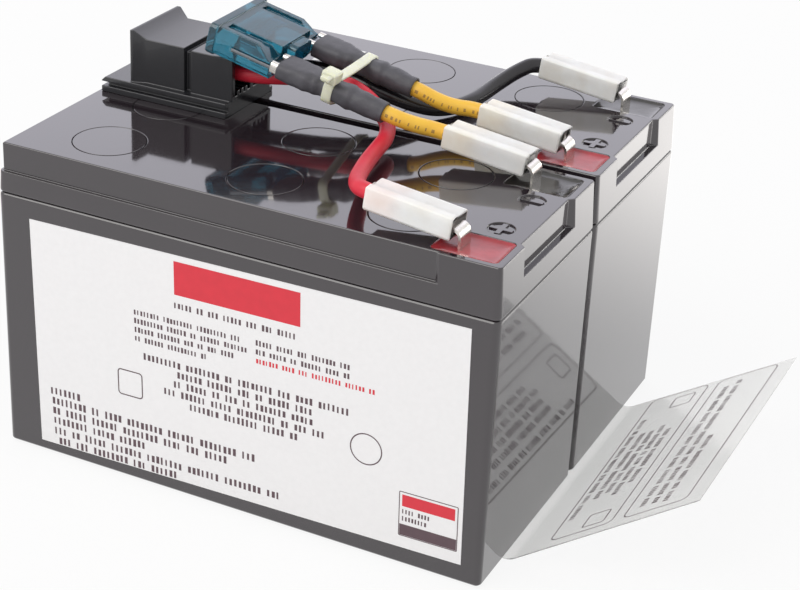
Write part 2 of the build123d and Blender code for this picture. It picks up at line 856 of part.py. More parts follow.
def make_wire(name, points):
    """Insulated wire along straight runs joined by tangent arcs."""
    radii = corner_radii(points)
    path = FilletPolyline(*points, radius=radii)
    start = Plane(origin=path @ 0, z_dir=path % 0)
    wire = sweep(start * Circle(wire_diameter / 2), path=path)
    ideal = math.pi * wire_diameter**2 / 4 * path.length
    print(
        f"{name}: length {path.length:.1f}, volume ratio {wire.volume / ideal:.4f}, radii",
        " ".join(f"{radius:.1f}" for radius in radii),
    )
    return wire


def film_rise(y):
    """Angle at which the flap rises at one y: a little less towards the back."""
    share = (y - film_front) / film_width
    return math.radians(film_front_rise + share * (film_back_rise - film_front_rise))


def film_plan(along, across):
    """Plan position of a point of the film, from its distances along and across the yawed sheet."""
    yaw = math.radians(film_yaw)
    past_fold = along * math.cos(yaw) - across * math.sin(yaw)
    y = film_front + along * math.sin(yaw) + across * math.cos(yaw)
    if past_fold <= 0:
        return (half_length - case_draft + past_fold, y)
    rise = film_rise(y)
    flat = (past_fold - film_bend_radius * rise) * math.cos(rise)
    return (half_length - case_draft + film_bend_radius * math.sin(rise) + flat, y)


def film_profile(y):
    """Section of the film at one y: flat under the pack, a bend and a straight flap."""
    rise = film_rise(y)
    bend_x = half_length - case_draft
    outer_radius = film_bend_radius + film_thickness
    centre = Vector(bend_x, outer_radius)
    out = Vector(math.sin(rise), -math.cos(rise))
    along = Vector(math.cos(rise), math.sin(rise)) * (film_flap_length + film_trim)
    inner_tangent = centre + out * film_bend_radius
    outer_tangent = centre + out * outer_radius
    end = inner_tangent + along
    outer_end = outer_tangent + along
    left = film_left - film_trim
    outline = (
        Line((left, film_thickness), (bend_x, film_thickness))
        + RadiusArc((bend_x, film_thickness), inner_tangent, -film_bend_radius)
        + Line(inner_tangent, end)
        + Line(end, outer_end)
        + Line(outer_end, outer_tangent)
        + RadiusArc(outer_tangent, (bend_x, 0), outer_radius)
        + Line((bend_x, 0), (left, 0))
        + Line((left, 0), (left, film_thickness))
    )
    return Plane(origin=(0, y, 0), x_dir=(1, 0, 0), z_dir=(0, -1, 0)) * make_face(outline)


def make_film():
    """Pull film: flat under the pack, then folded up, and trimmed to a slightly yawed sheet."""
    low = film_front - film_trim
    high = film_front + film_width + film_trim
    sheet = loft([film_profile(low), film_profile(high)], ruled=True)
    left = film_left - half_length
    fold = film_width * math.tan(math.radians(film_yaw))
    corners = [
        film_plan(left, 0),
        film_plan(0, 0),
        film_plan(film_flap_length, 0),
        film_plan(film_flap_length, film_width),
        film_plan(fold, film_width),
        film_plan(left, film_width),
    ]
    return sheet & extrude(make_face(Polyline(*corners, close=True)), amount=film_flap_length)


def make_label():
    """Paper label on the front case wall, laid on a little out of square."""
    lean = math.atan(case_draft / case_height)
    wall_y = -battery_row - half_width + case_draft * (1 - label_z / case_height)
    turn = math.radians(label_turn)
    outward = (0, -math.cos(lean), -math.sin(lean))
    along_wall_up = (0, -math.sin(lean), math.cos(lean))
    x_dir = (math.cos(turn), math.sin(turn) * along_wall_up[1], math.sin(turn) * along_wall_up[2])
    face = Plane(origin=(label_x, wall_y, base + label_z), x_dir=x_dir, z_dir=outward)
    return extrude(face * Rectangle(label_length, label_height), amount=label_thickness)


def wire_routes():
    """Routes of the four leads, from the fuse or connector to their boots."""
    boots = {name: boot_plane(name) for name in tab_rows}
    blades = {"front": fuse_end_plane(-blade_row), "rear": fuse_end_plane(blade_row)}
    wire_start = barrel_end(receptacle_set_in)
    fuse_wire_start = barrel_end(fuse_length + fuse_receptacle_gap)
    rows = contact_rows()
    wire_z = battery_top + contact_height

    def out_of(plane, *distances):
        return [tuple(plane.from_local_coords(Vector(d, 0, 0))) for d in distances]

    def into_boot(name):
        return out_of(boots[name], boot_length + boot_entry_run, wire_start)

    red = [
        (contact_barrel_end, rows["red"], wire_z),
        (contact_run_end, rows["red"], wire_z),
        (-18.6, -7.2, 106.4),
        (-10.6, -4.6, 106.9),
        (-2.6, -3.0, 107.1),
        (3.6, -3.9, 106.2),
        (8.8, -4.8, 103.8),
        (12.6, -6.4, 101.4),
        (16.2, -9.8, 99.9),
        (18.4, -15.4, 98.9),
        (19.4, -22.6, 98.6),
        (20.9, -31.6, 98.7),
        (23.2, -39.5, 99.5),
        (25.6, -46.8, 100.5),
        (28.2, -52.4, 101.3),
    ] + into_boot("front_positive")
    black = [
        (contact_barrel_end, rows["black"], wire_z),
        (contact_run_end, rows["black"], wire_z),
        (-19.0, 4.2, 105.9),
        (-11.4, 6.2, 106.0),
        (-4.2, 7.0, 104.9),
        (3.0, 6.4, 103.0),
        (8.6, 7.6, 101.4),
        (13.6, 10.6, 99.1),
        (18.4, 14.6, 97.3),
        (22.4, 19.4, 97.0),
        (24.6, 25.8, 97.0),
        (25.6, 33.4, 97.1),
        (26.9, 41.0, 98.2),
        (29.6, 48.8, 100.2),
    ] + into_boot("rear_negative")
    ends = {name: sleeve_start + length + sleeve_exit_run for name, length in sleeve_lengths.items()}
    yellow_front = out_of(blades["front"], fuse_wire_start, ends["front"])
    yellow_front += [(25.2, -13.0, 103.6)] + into_boot("front_negative")
    yellow_rear = out_of(blades["rear"], fuse_wire_start, ends["rear"])
    yellow_rear += [(23.2, 7.2, 103.2), (28.4, 8.8, 101.9)] + into_boot("rear_positive")
    return {
        "wire_red": red,
        "wire_black": black,
        "wire_yellow_front": yellow_front,
        "wire_yellow_rear": yellow_rear,
    }


def build():
    parts = {}
    sides = {"front": -1, "rear": 1}
    case = make_case()
    lid = make_lid()
    covers = make_covers()
    caps = make_caps()
    links = [link_block(place, 0) for place in link_places()]
    for battery, side in sides.items():
        here = Pos(0, side * battery_row, base)
        fitted_lid = here * lid
        for sign in ("positive", "negative"):
            name = f"{battery}_{sign}"
            hole = Cylinder(post_diameter / 2 + post_clearance, cup_floor, align=TOP)
            fitted_lid -= here * Pos(tab_columns[battery], tab_rows[name], well_floor_z) * hole
        parts[f"case_{battery}"] = here * case
        parts[f"lid_{battery}"] = fitted_lid
        parts[f"vent_covers_{battery}"] = Compound([here * disc for disc in covers])
        parts[f"valve_caps_{battery}"] = Compound([here * cap for cap in caps])
        parts[f"cell_links_{battery}"] = Compound([here * link for link in links])
        number = 1
        for row in cell_rows:
            sign = "positive" if row < 0 else "negative"
            for column in cell_columns:
                last = column == cell_columns[-1]
                post_place = (tab_columns[battery], tab_rows[f"{battery}_{sign}"]) if last else None
                group = make_group(row, post_place)
                at = here * Pos(column, row, case_floor)
                parts[f"plate_group_{battery}_{number}"] = at * group
                number += 1
        for sign in ("positive", "negative"):
            name = f"{battery}_{sign}"
            plane = boot_plane(name)
            parts[f"tab_{name}"] = make_tab(name, plane)
            parts[f"seal_{name}"] = here * make_seal(name)
            parts[f"boot_{name}"] = make_boot(plane)
            parts[f"receptacle_{name}"] = make_receptacle(
                plane, tab_width, tab_thickness, receptacle_set_in
            )

    parts["connector_housing"] = make_connector()
    for colour, y in contact_rows().items():
        parts[f"connector_contact_{colour}"] = make_contact(y)
    plane = fuse_plane()
    parts["fuse_housing"] = make_fuse_housing(plane)
    parts["fuse_element"] = make_fuse_element(plane)
    for place, side in sides.items():
        blade = fuse_end_plane(side * blade_row)
        parts[f"fuse_receptacle_{place}"] = make_receptacle(
            blade, blade_width, blade_thickness, fuse_length + fuse_receptacle_gap
        )
        parts[f"sleeve_{place}"] = make_sleeve(blade, sleeve_lengths[place])
    parts["cable_tie"] = make_tie(plane)
    for name, points in wire_routes().items():
        parts[name] = make_wire(name, points)

    parts["pull_film"] = make_film()
    parts["label_front"] = make_label()
    paper = Box(sticker_length, sticker_width, sticker_thickness, align=BOTTOM)
    parts["sticker"] = Pos(sticker_x, sticker_y, battery_top) * paper
    tape = block(
        (-tape_length / 2, tape_length / 2),
        (-battery_gap / 2, battery_gap / 2),
        (base + tape_bottom, base + tape_top),
    )
    parts["battery_tape"] = tape
    return parts


if __name__ == "__main__":
    os.makedirs("parts", exist_ok=True)
    for node, solid in build().items():
        export_step(solid, f"parts/{node}.step")
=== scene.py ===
"""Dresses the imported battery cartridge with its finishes, leads, printing and studio."""

import math
import random

import bmesh
import bpy
from bpy.props import FloatProperty, FloatVectorProperty, IntProperty, PointerProperty
from mathutils import Matrix, Vector, noise


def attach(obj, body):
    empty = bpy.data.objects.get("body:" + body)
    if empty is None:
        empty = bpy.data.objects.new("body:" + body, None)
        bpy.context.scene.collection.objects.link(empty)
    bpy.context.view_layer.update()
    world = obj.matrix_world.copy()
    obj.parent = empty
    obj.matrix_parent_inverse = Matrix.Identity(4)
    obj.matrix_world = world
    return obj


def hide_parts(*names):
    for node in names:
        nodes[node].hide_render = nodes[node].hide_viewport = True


bl_info = {
    "name": "Battery cartridge", "version": (1, 0, 0), "blender": (4, 5, 0),
    "location": "View3D > Sidebar > Cartridge",
    "description": "Dresses a battery cartridge with its finishes, leads and printing",
    "category": "Object",
}

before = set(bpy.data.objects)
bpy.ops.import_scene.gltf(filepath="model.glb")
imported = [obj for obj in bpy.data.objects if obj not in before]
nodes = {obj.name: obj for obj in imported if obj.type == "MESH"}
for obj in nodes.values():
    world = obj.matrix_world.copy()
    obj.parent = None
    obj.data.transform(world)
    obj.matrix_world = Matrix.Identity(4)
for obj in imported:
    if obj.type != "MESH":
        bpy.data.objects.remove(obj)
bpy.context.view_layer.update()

MM = 0.001
SIDES = {"front": -1, "rear": 1}

# Places repeated from the solids, in millimetres
BATTERY_TOP = 94.3
BATTERY_ROW = 33.0
MARK_X = 65.2
MARK_ROW = 10.1
MARK_DEPTH = 0.6
FUSE_ORIGIN = (-35.8, -4.5, 122.161)
FUSE_TILT = 12.5
BLADE_ROW = 10.4
FUSE_THICKNESS = 8.8
SLEEVE_START = 23.2
SLEEVE_LENGTHS = {"front": 32.3, "rear": 31.1}
LABEL_CENTRE = (2.3, 40.1)
LABEL_TURN = 1.05
LABEL_THICKNESS = 0.2
CASE_DRAFT = 0.25
CASE_HEIGHT = 79.45
CASE_FACE_Y = -65.5
FILM_FOLD_X = 75.25
FILM_FRONT = -48.5
FILM_WIDTH = 94.1
FILM_YAW = 1.66
FILM_BEND = 5.0
FILM_RISES = (34.8, 32.3)
FILM_THICKNESS = 0.3

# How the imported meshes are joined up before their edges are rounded
WELD_DISTANCE = 0.002 * MM
FLAT_ANGLE = math.radians(0.6)
SHARP_ANGLE = math.radians(38)

# The two noises of a surface, as waves to a grain and detail, and the span that colours it
NOISES = ((1, 3.0), (5, 2.0))
SPAN = (0.3, 0.7)

# Printing: the pitch and the reach of its dashes in heights of the row, their width in pitches,
# how many stand together, the steps of a round corner, and how many times higher ink stands on
# the bent film than on paper
DASH_PITCH = 0.62
DASH_BELOW = (0.42, 0.5)
DASH_ABOVE = (0.36, 0.5)
DASH_WIDTH = (0.34, 0.66)
DASH_GROUP = (2, 9)
CORNER_STEPS = 6
FILM_LIFT = 3

# The four leads: their lengths in metres, and their centrelines, the runs of the solids, in
# millimetres
LEADS = {
    "wire_red": (
        0.1152,
        (-36.0, -9.35, 105.6), (-27.5, -9.35, 105.6), (-18.6, -7.2, 106.4), (-10.6, -4.6, 106.9),
        (-2.6, -3.0, 107.1), (3.6, -3.9, 106.2), (8.8, -4.8, 103.8), (12.6, -6.4, 101.4),
        (16.2, -9.8, 99.9), (18.4, -15.4, 98.9), (19.4, -22.6, 98.6), (20.9, -31.6, 98.7),
        (23.2, -39.5, 99.5), (25.6, -46.8, 100.5), (28.2, -52.4, 101.3), (31.8, -55.9, 101.96),
        (41.43, -55.9, 100.78),
    ),
    "wire_black": (
        0.1124,
        (-36.0, 0.65, 105.6), (-27.5, 0.65, 105.6), (-19.0, 4.2, 105.9), (-11.4, 6.2, 106.0),
        (-4.2, 7.0, 104.9), (3.0, 6.4, 103.0), (8.6, 7.6, 101.4), (13.6, 10.6, 99.1),
        (18.4, 14.6, 97.3), (22.4, 19.4, 97.0), (24.6, 25.8, 97.0), (25.6, 33.4, 97.1),
        (26.9, 41.0, 98.2), (29.6, 48.8, 100.2), (33.6, 55.2, 101.96), (43.23, 55.2, 100.78),
    ),
    "wire_yellow_front": (
        0.043,
        (0.35, -14.9, 109.64), (18.41, -14.9, 105.64), (25.2, -13.0, 103.6), (31.8, -9.4, 101.96),
        (41.43, -9.4, 100.78),
    ),
    "wire_yellow_rear": (
        0.0446, (0.35, 5.9, 109.64), (17.24, 5.9, 105.9), (23.2, 7.2, 103.2), (28.4, 8.8, 101.9),
        (33.6, 10.3, 101.96), (43.23, 10.3, 100.78),
    ),
}

def linear(code):
    """Linear colour of an sRGB hex value."""
    values = [int(code[i : i + 2], 16) / 255 for i in (1, 3, 5)]
    return tuple(v / 12.92 if v <= 0.04045 else ((v + 0.055) / 1.055) ** 2.4 for v in values)


def length_property(name, description, default):
    return FloatProperty(
        name=name, description=description, default=default, min=0, unit="LENGTH", precision=5
    )


def power_property(name, description, default):
    return FloatProperty(name=name, description=description, default=default, unit="POWER")


def colour_property(name, description, code):
    return FloatVectorProperty(
        name=name, description=description, default=linear(code), size=3, min=0, max=1,
        subtype="COLOR",
    )


class CartridgeSizes(bpy.types.PropertyGroup):
    """Sizes of the dressed pieces that the solids leave open."""

    case_edge: length_property("Case edge", "Round on the edges of cases and lids", 0.00025)
    small_edge: length_property("Small edge", "Round on the edges of small mouldings", 0.00025)
    boot_edge: length_property("Boot edge", "Round on the edges of the nylon boots", 0.00055)
    tie_width: length_property("Tie width", "Width of the strap of the cable tie", 0.0028)
    tie_thickness: length_property("Tie thickness", "Thickness of the strap", 0.001)
    lead_diameter: length_property("Lead diameter", "Outside diameter of the insulation", 0.0045)
    mark_width: length_property("Mark width", "Width of the bars of a polarity sign", 0.0015)
    mark_length: length_property("Mark length", "Length of the bars of a polarity sign", 0.0064)
    resin_depth: length_property("Resin depth", "Depth of the resin under the lid", 0.0009)
    sleeve_lumps: length_property("Sleeve lumps", "Height of the lumps in a shrunk sleeve", 0.00016)
    print_lift: length_property("Print lift", "Height of the ink over paper and film", 0.00003)
    print_seed: IntProperty(
        name="Print seed", description="Seed of the dash lengths", default=7, subtype="UNSIGNED"
    )


class CartridgeColours(bpy.types.PropertyGroup):
    """Colours of the plastics, the leads and the printing."""

    battery: colour_property("Battery", "Cases and lids", "#2d262b")
    connector: colour_property("Connector", "Connector housing", "#232327")
    boot: colour_property("Boot", "Nylon boots", "#fefaf3")
    fuse: colour_property("Fuse", "Transparent fuse body", "#3388a2")
    sleeve: colour_property("Sleeve", "Heat-shrink sleeves", "#504f55")
    tie: colour_property("Tie", "Cable tie", "#f6f8dc")
    red: colour_property("Red", "Red lead", "#dc2a40")
    black: colour_property("Black", "Black lead", "#242226")
    yellow: colour_property("Yellow", "Yellow leads", "#ffc847")
    resin_red: colour_property("Red resin", "Resin round the positive tabs", "#ad3a42")
    resin_black: colour_property("Black resin", "Resin round the negative tabs", "#2b2826")
    ink_red: colour_property("Red ink", "Colour field on the label", "#dc2f3f")
    ink_dark: colour_property("Dark ink", "Dashes on label and film", "#5b464d")
    paper: colour_property("Paper", "Label and sticker", "#f3f2f3")
    film: colour_property("Film", "Pull film", "#f8f8f7")


class CartridgeStage(bpy.types.PropertyGroup):
    """Levels of the studio."""

    surround: FloatProperty(
        name="Surround", description="Level of the even light", default=0.7, subtype="FACTOR"
    )
    softbox: power_property("Softbox", "Power of the softbox behind", 5.0)
    glow: power_property("Glow", "Power of the lit table behind", 3.2)
    strip: power_property("Strip", "Power of the light that edges the case", 1.6)
    key: power_property("Key", "Power of the light in front", 8.5)


def sizes():
    return bpy.context.scene.cartridge_sizes


def colours():
    return bpy.context.scene.cartridge_colours


def add_node(tree, kind, inputs=None, **settings):
    """Adds a shader node, sets its properties, and fills or links the inputs that are given."""
    made = tree.nodes.new(kind)
    for key, value in settings.items():
        setattr(made, key, value)
    for key, value in (inputs or {}).items():
        if isinstance(value, bpy.types.NodeSocket):
            tree.links.new(value, made.inputs[key])
        else:
            made.inputs[key].default_value = value
    return made


def calculate(tree, operation, *values):
    """Result of a math node on sockets and plain numbers."""
    made = add_node(tree, "ShaderNodeMath", dict(enumerate(values)), operation=operation)
    return made.outputs[0]


def ranged(tree, value, source=(0, 1), target=(0, 1), kind="LINEAR"):
    """Result of a node that maps a value from one range to another."""
    ends = {"From Min": source[0], "From Max": source[1], "To Min": target[0], "To Max": target[1]}
    made = add_node(tree, "ShaderNodeMapRange", {"Value": value, **ends}, interpolation_type=kind)
    return made.outputs[0]


def blend(tree, share, low, high):
    """Result of a node that mixes two colours."""
    made = add_node(tree, "ShaderNodeMix", {0: share, 6: low, 7: high}, data_type="RGBA")
    return made.outputs[2]


def shade(colour, factor):
    return tuple(min(1.0, c * factor) for c in colour) + (1.0,)


def finish(name, colour, grain, mottle, roughness, relief, stretch=(1, 1, 1), **sockets):
    """Material whose colour, roughness and relief follow noises of one grain.

    colour is a hex value or the name of a setting, grain is in millimetres, mottle is how far
    the colour strays, roughness is its low and high, relief is the height of the surface in
    millimetres, and sockets are plain shader values.
    """
    base = linear(colour) if colour.startswith("#") else getattr(colours(), colour)
    made = bpy.data.materials.new(name)
    made.use_nodes = True
    tree = made.node_tree
    shader = tree.nodes["Principled BSDF"]
    place = add_node(tree, "ShaderNodeTexCoord").outputs["Object"]
    mapped = add_node(tree, "ShaderNodeMapping", {"Vector": place, "Scale": stretch}).outputs[0]
    scale = 1 / (grain * MM)
    broad, fine = [
        add_node(
            tree, "ShaderNodeTexNoise", {"Vector": mapped, "Scale": times * scale, "Detail": detail}
        ).outputs[0]
        for times, detail in NOISES
    ]
    spread = ranged(tree, broad, SPAN)
    tint = blend(tree, spread, shade(base, 1 - mottle), shade(base, 1 + mottle))
    tree.links.new(tint, shader.inputs["Base Color"])
    rough = ranged(tree, fine, target=roughness)
    tree.links.new(rough, shader.inputs["Roughness"])
    bump = add_node(
        tree, "ShaderNodeBump", {"Height": fine, "Strength": 1.0, "Distance": relief * MM},
    )
    tree.links.new(bump.outputs[0], shader.inputs["Normal"])
    for key, value in sockets.items():
        shader.inputs[key.replace("_", " ")].default_value = value
    return made


def mix_in_print_and_painted_tint(material, share, colour):
    """Mixes a set colour into the base colour of a material, by the share of a socket: real print,
    and the painted tint of a lead seen through its boot.
    """
    tree = material.node_tree
    base = tree.nodes["Principled BSDF"].inputs["Base Color"]
    added = shade(getattr(colours(), colour), 1)
    tree.links.new(blend(tree, share, base.links[0].from_socket, added), base)


def round_edges(made, width, segments=2):
    bevel = made.modifiers.new("Edge", "BEVEL")
    bevel.width = width
    bevel.segments = segments
    bevel.use_clamp_overlap = False
    bevel.limit_method = "ANGLE"
    bevel.angle_limit = SHARP_ANGLE


def weigh_normals(made):
    """Keeps flat faces flat to the eye beside rounded edges."""
    made.modifiers.new("Normals", "WEIGHTED_NORMAL").keep_sharp = False


def dress(name, material, edge=0.0, segments=2):
    """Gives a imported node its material, and rounds its edges where edge is over 0."""
    node = nodes[name]
    node.data.materials[0] = material
    if edge > 0:
        node.data.shade_smooth()
        node.modifiers.new("Weld", "WELD").merge_threshold = WELD_DISTANCE
        join = node.modifiers.new("Join", "DECIMATE")
        join.decimate_type = "DISSOLVE"
        join.angle_limit = FLAT_ANGLE
        round_edges(node, edge, segments)
        weigh_normals(node)


def placed(name, data):
    """New object in the scene."""
    made = bpy.data.objects.new(name, data)
    bpy.context.scene.collection.objects.link(made)
    return made


def piece(name, data, material, slot, *replaced):
    """New piece of the cartridge that rides on the pack."""
    made = placed(name, data)
    made.data.materials.append(material)
    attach(made, "root")
    if replaced:
        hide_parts(*replaced)
    return made


def mesh_of(name, points, faces, smooth=False):
    mesh = bpy.data.meshes.new(name)
    mesh.from_pydata(points, [], faces)
    mesh.validate()
    if smooth:
        mesh.shade_smooth()
    return mesh


def tube_faces(rings, around):
    """Faces of a tube through rings that have as many points around."""
    faces = []
    for low in range(0, (rings - 1) * around, around):
        high = low + around
        for i in range(around):
            j = (i + 1) % around
            faces.append((low + i, low + j, high + j, high + i))
    return faces


def circle(radius, steps):
    turns = [2 * math.pi * i / steps for i in range(steps)]
    return [(radius * math.cos(turn), radius * math.sin(turn)) for turn in turns]


def prism(outline, low, high):
    """Points and faces of an upright body: its foot, its top, and then its walls."""
    count = len(outline)
    points = [(x, y, z) for z in (low, high) for x, y in outline]
    caps = [tuple(range(count))[::-1], tuple(range(count, 2 * count))]
    return points, caps + tube_faces(2, count)


class Ink:
    """Flat printed shapes, in millimetres on a surface that place(u, v) puts in space."""

    def __init__(self, place):
        self.place = place
        self.points = []
        self.faces = []

    def quad(self, corners):
        first = len(self.points)
        self.points += [self.place(u, v) for u, v in corners]
        self.faces.append(tuple(range(first, first + 4)))

    def field(self, low_u, low_v, high_u, high_v):
        """Filled rectangle."""
        self.quad([(low_u, low_v), (high_u, low_v), (high_u, high_v), (low_u, high_v)])

    def line(self, outline, width):
        """Closed outline of even width."""
        count = len(outline)
        edges = []
        for i in range(count):
            before = Vector(outline[i - 1])
            at = Vector(outline[i])
            after = Vector(outline[(i + 1) % count])
            along = (after - before).normalized()
            across = Vector((-along.y, along.x)) * width / 2
            edges.append((at - across, at + across))
        for i in range(count):
            (a, b), (c, d) = edges[i], edges[(i + 1) % count]
            self.quad([a, c, d, b])

    def dry(self, name, material, slot):
        piece(name, mesh_of(name, self.points, self.faces), material, slot)


def rounded_outline(low_u, low_v, high_u, high_v, radius, sides=1):
    """Outline of a rounded rectangle, with each side cut so that it follows a bent surface."""
    outline = []
    corners = [
        (high_u - radius, low_v + radius, -90), (high_u - radius, high_v - radius, 0),
        (low_u + radius, high_v - radius, 90), (low_u + radius, low_v + radius, 180),
    ]
    for u, v, start in corners:
        for i in range(CORNER_STEPS + 1):
            turn = math.radians(start + 90 * i / CORNER_STEPS)
            outline.append((u + radius * math.cos(turn), v + radius * math.sin(turn)))
    finer = []
    for i, (u, v) in enumerate(outline):
        after = outline[(i + 1) % len(outline)]
        parts = sides if math.dist((u, v), after) > 3 * radius else 1
        for k in range(parts):
            finer.append((u + (after[0] - u) * k / parts, v + (after[1] - v) * k / parts))
    return finer


def dashes(ink, rng, start, end, across, height, turned=False):
    """Row of short dashes in groups, which reads as a printed line and says nothing."""
    at = start
    pitch = DASH_PITCH * height
    while at < end - 2 * pitch:
        count = min(rng.randint(*DASH_GROUP), int((end - at) / pitch))
        for _ in range(count):
            low = across - height * rng.uniform(*DASH_BELOW)
            high = across + height * rng.uniform(*DASH_ABOVE)
            right = at + pitch * rng.uniform(*DASH_WIDTH)
            if turned:
                ink.field(low, at, high, right)
            else:
                ink.field(at, low, right, high)
            at += pitch
        at += pitch


def label_place(u, v):
    """Point on the face of the label: u along it and v up it, from the middle of the foot."""
    lean = math.atan(CASE_DRAFT / CASE_HEIGHT)
    turn = math.radians(LABEL_TURN)
    outward = Vector((0, -math.cos(lean), -math.sin(lean)))
    up = Vector((0, -math.sin(lean), math.cos(lean)))
    wall = CASE_FACE_Y + CASE_DRAFT * (1 - (LABEL_CENTRE[1] - FILM_THICKNESS) / CASE_HEIGHT)
    centre = Vector((LABEL_CENTRE[0], wall, LABEL_CENTRE[1]))
    along = Vector((math.cos(turn), 0, 0)) + up * math.sin(turn)
    rise = up * math.cos(turn) - Vector((math.sin(turn), 0, 0))
    lift = LABEL_THICKNESS + sizes().print_lift / MM
    along *= u - LABEL_CENTRE[0]
    rise *= v - LABEL_CENTRE[1]
    return (centre + along + rise + outward * lift) * MM


def film_place(along, across):
    """Point on the upper face of the flap, from the distances along and across the sheet."""
    yaw = math.radians(FILM_YAW)
    past_fold = along * math.cos(yaw) - across * math.sin(yaw)
    y = FILM_FRONT + along * math.sin(yaw) + across * math.cos(yaw)
    share = (y - FILM_FRONT) / FILM_WIDTH
    rise = math.radians(FILM_RISES[0] + share * (FILM_RISES[1] - FILM_RISES[0]))
    flat = past_fold - FILM_BEND * rise
    x = FILM_FOLD_X + FILM_BEND * math.sin(rise) + flat * math.cos(rise)
    z = FILM_THICKNESS + FILM_BEND * (1 - math.cos(rise)) + flat * math.sin(rise)
    lift = FILM_LIFT * sizes().print_lift / MM
    return Vector((x - lift * math.sin(rise), y, z + lift * math.cos(rise))) * MM


def blade_frame(row):
    """Matrix of one fuse blade: +X along it, in metres."""
    rotation = Matrix.Rotation(math.radians(FUSE_TILT), 4, "Y")
    origin = Vector(FUSE_ORIGIN) + Vector((0, row, 0))
    origin -= rotation @ Vector((0, 0, FUSE_THICKNESS / 2))
    return Matrix.Translation(origin * MM) @ rotation


class CARTRIDGE_OT_batteries(bpy.types.Operator):
    """Finish the cases, lids, vent covers, caps, plates and tape of both batteries"""

    bl_idname = "cartridge.batteries"
    bl_label = "Batteries"

    COVER_SHARE = 0.6

    def execute(self, context):
        # Acrylonitrile butadiene styrene, moulded in polished steel: a black mirror with slow waves
        abs_polished = finish(
            "abs_moulded_polished", "battery", grain=16, mottle=0.05,
            roughness=(0.05, 0.11), relief=0.004, stretch=(1, 1, 0.3), IOR=1.54, Coat_Weight=0.7,
            Coat_Roughness=0.05, Coat_IOR=1.6,
        )
        # Pasted and cast lead: dull blue grey with an uneven skin
        lead_cast = finish("lead_cast", "#85878c", 4, 0.2, (0.45, 0.65), 0.05, Metallic=1.0)
        # Moulded rubber: black and dull
        rubber_moulded = finish("rubber_moulded", "#1c1c1c", 3, 0.15, (0.6, 0.75), 0.02)
        # Polyethylene foam tape: dark, with an open grain
        foam_tape = finish("polyethylene_foam", "#2a2a2a", 0.8, 0.3, (0.8, 0.95), 0.08)
        edge = sizes().case_edge
        for side in SIDES:
            dress(f"case_{side}", abs_polished, edge)
            dress(f"lid_{side}", abs_polished, edge)
            dress(f"vent_covers_{side}", abs_polished, edge * self.COVER_SHARE)
            dress(f"valve_caps_{side}", rubber_moulded)
            dress(f"cell_links_{side}", lead_cast)
            for number in range(1, 7):
                dress(f"plate_group_{side}_{number}", lead_cast)
        dress("battery_tape", foam_tape)
        return {"FINISHED"}


class CARTRIDGE_OT_marks(bpy.types.Operator):
    """Raise a plus or minus sign in each round recess of the lids"""

    bl_idname = "cartridge.marks"
    bl_label = "Polarity marks"

    # In millimetres, with the drops under the top of the lid
    SUNK = 0.05
    DISC_RADIUS = 3.66
    DISC_STEPS = 64
    DISC_DROP = 0.8 * MARK_DEPTH
    SIGN_DROP = 0.03
    ROUND = 0.1

    def outline(self, polarity):
        """Outline of a sign round its centre, in metres."""
        a = sizes().mark_length / 2
        b = sizes().mark_width / 2
        if polarity == "negative":
            return [(a, -b), (a, b), (-a, b), (-a, -b)]
        half = [(a, -b), (a, b), (b, b), (b, a), (-b, a), (-b, b)]
        return half + [(-u, -v) for u, v in half]

    def execute(self, context):
        material = bpy.data.materials["abs_moulded_polished"]
        foot = (BATTERY_TOP - MARK_DEPTH - self.SUNK) * MM
        rim = circle(self.DISC_RADIUS * MM, self.DISC_STEPS)
        disc, disc_faces = prism(rim, foot, (BATTERY_TOP - self.DISC_DROP) * MM)
        for side, sign in SIDES.items():
            for polarity, direction in (("positive", -1), ("negative", 1)):
                x = MARK_X * MM
                y = (sign * BATTERY_ROW + direction * MARK_ROW) * MM
                top = (BATTERY_TOP - self.SIGN_DROP) * MM
                points, faces = prism(self.outline(polarity), foot, top)
                first = len(points)
                faces += [tuple(first + i for i in face) for face in disc_faces[1:]]
                points = [(x + u, y + v, z) for u, v, z in points + disc]
                name = f"mark_{side}_{polarity}"
                mark = piece(name, mesh_of(name, points, faces), material, "battery_plastic")
                round_edges(mark, self.ROUND * MM)
        return {"FINISHED"}


class CARTRIDGE_OT_terminals(bpy.types.Operator):
    """Finish the tabs, receptacles and contacts"""

    bl_idname = "cartridge.terminals"
    bl_label = "Terminals"

    STAMPED_EDGE = 0.08 * MM
    PIN_EDGE = 0.1 * MM

    def execute(self, context):
        # Brass strip, tin plated and stamped: bright warm silver with faint rolling lines
        brass_tinned = finish(
            "brass_tin_plated", "#dedad5", 1.2, 0.12, (0.16, 0.34), 0.004,
            stretch=(1, 6, 1), Metallic=1.0,
        )
        for side in SIDES:
            for polarity in ("positive", "negative"):
                dress(f"tab_{side}_{polarity}", brass_tinned, self.STAMPED_EDGE)
                dress(f"receptacle_{side}_{polarity}", brass_tinned)
            dress(f"fuse_receptacle_{side}", brass_tinned)
        for colour in ("red", "black"):
            dress(f"connector_contact_{colour}", brass_tinned, self.PIN_EDGE)
        return {"FINISHED"}


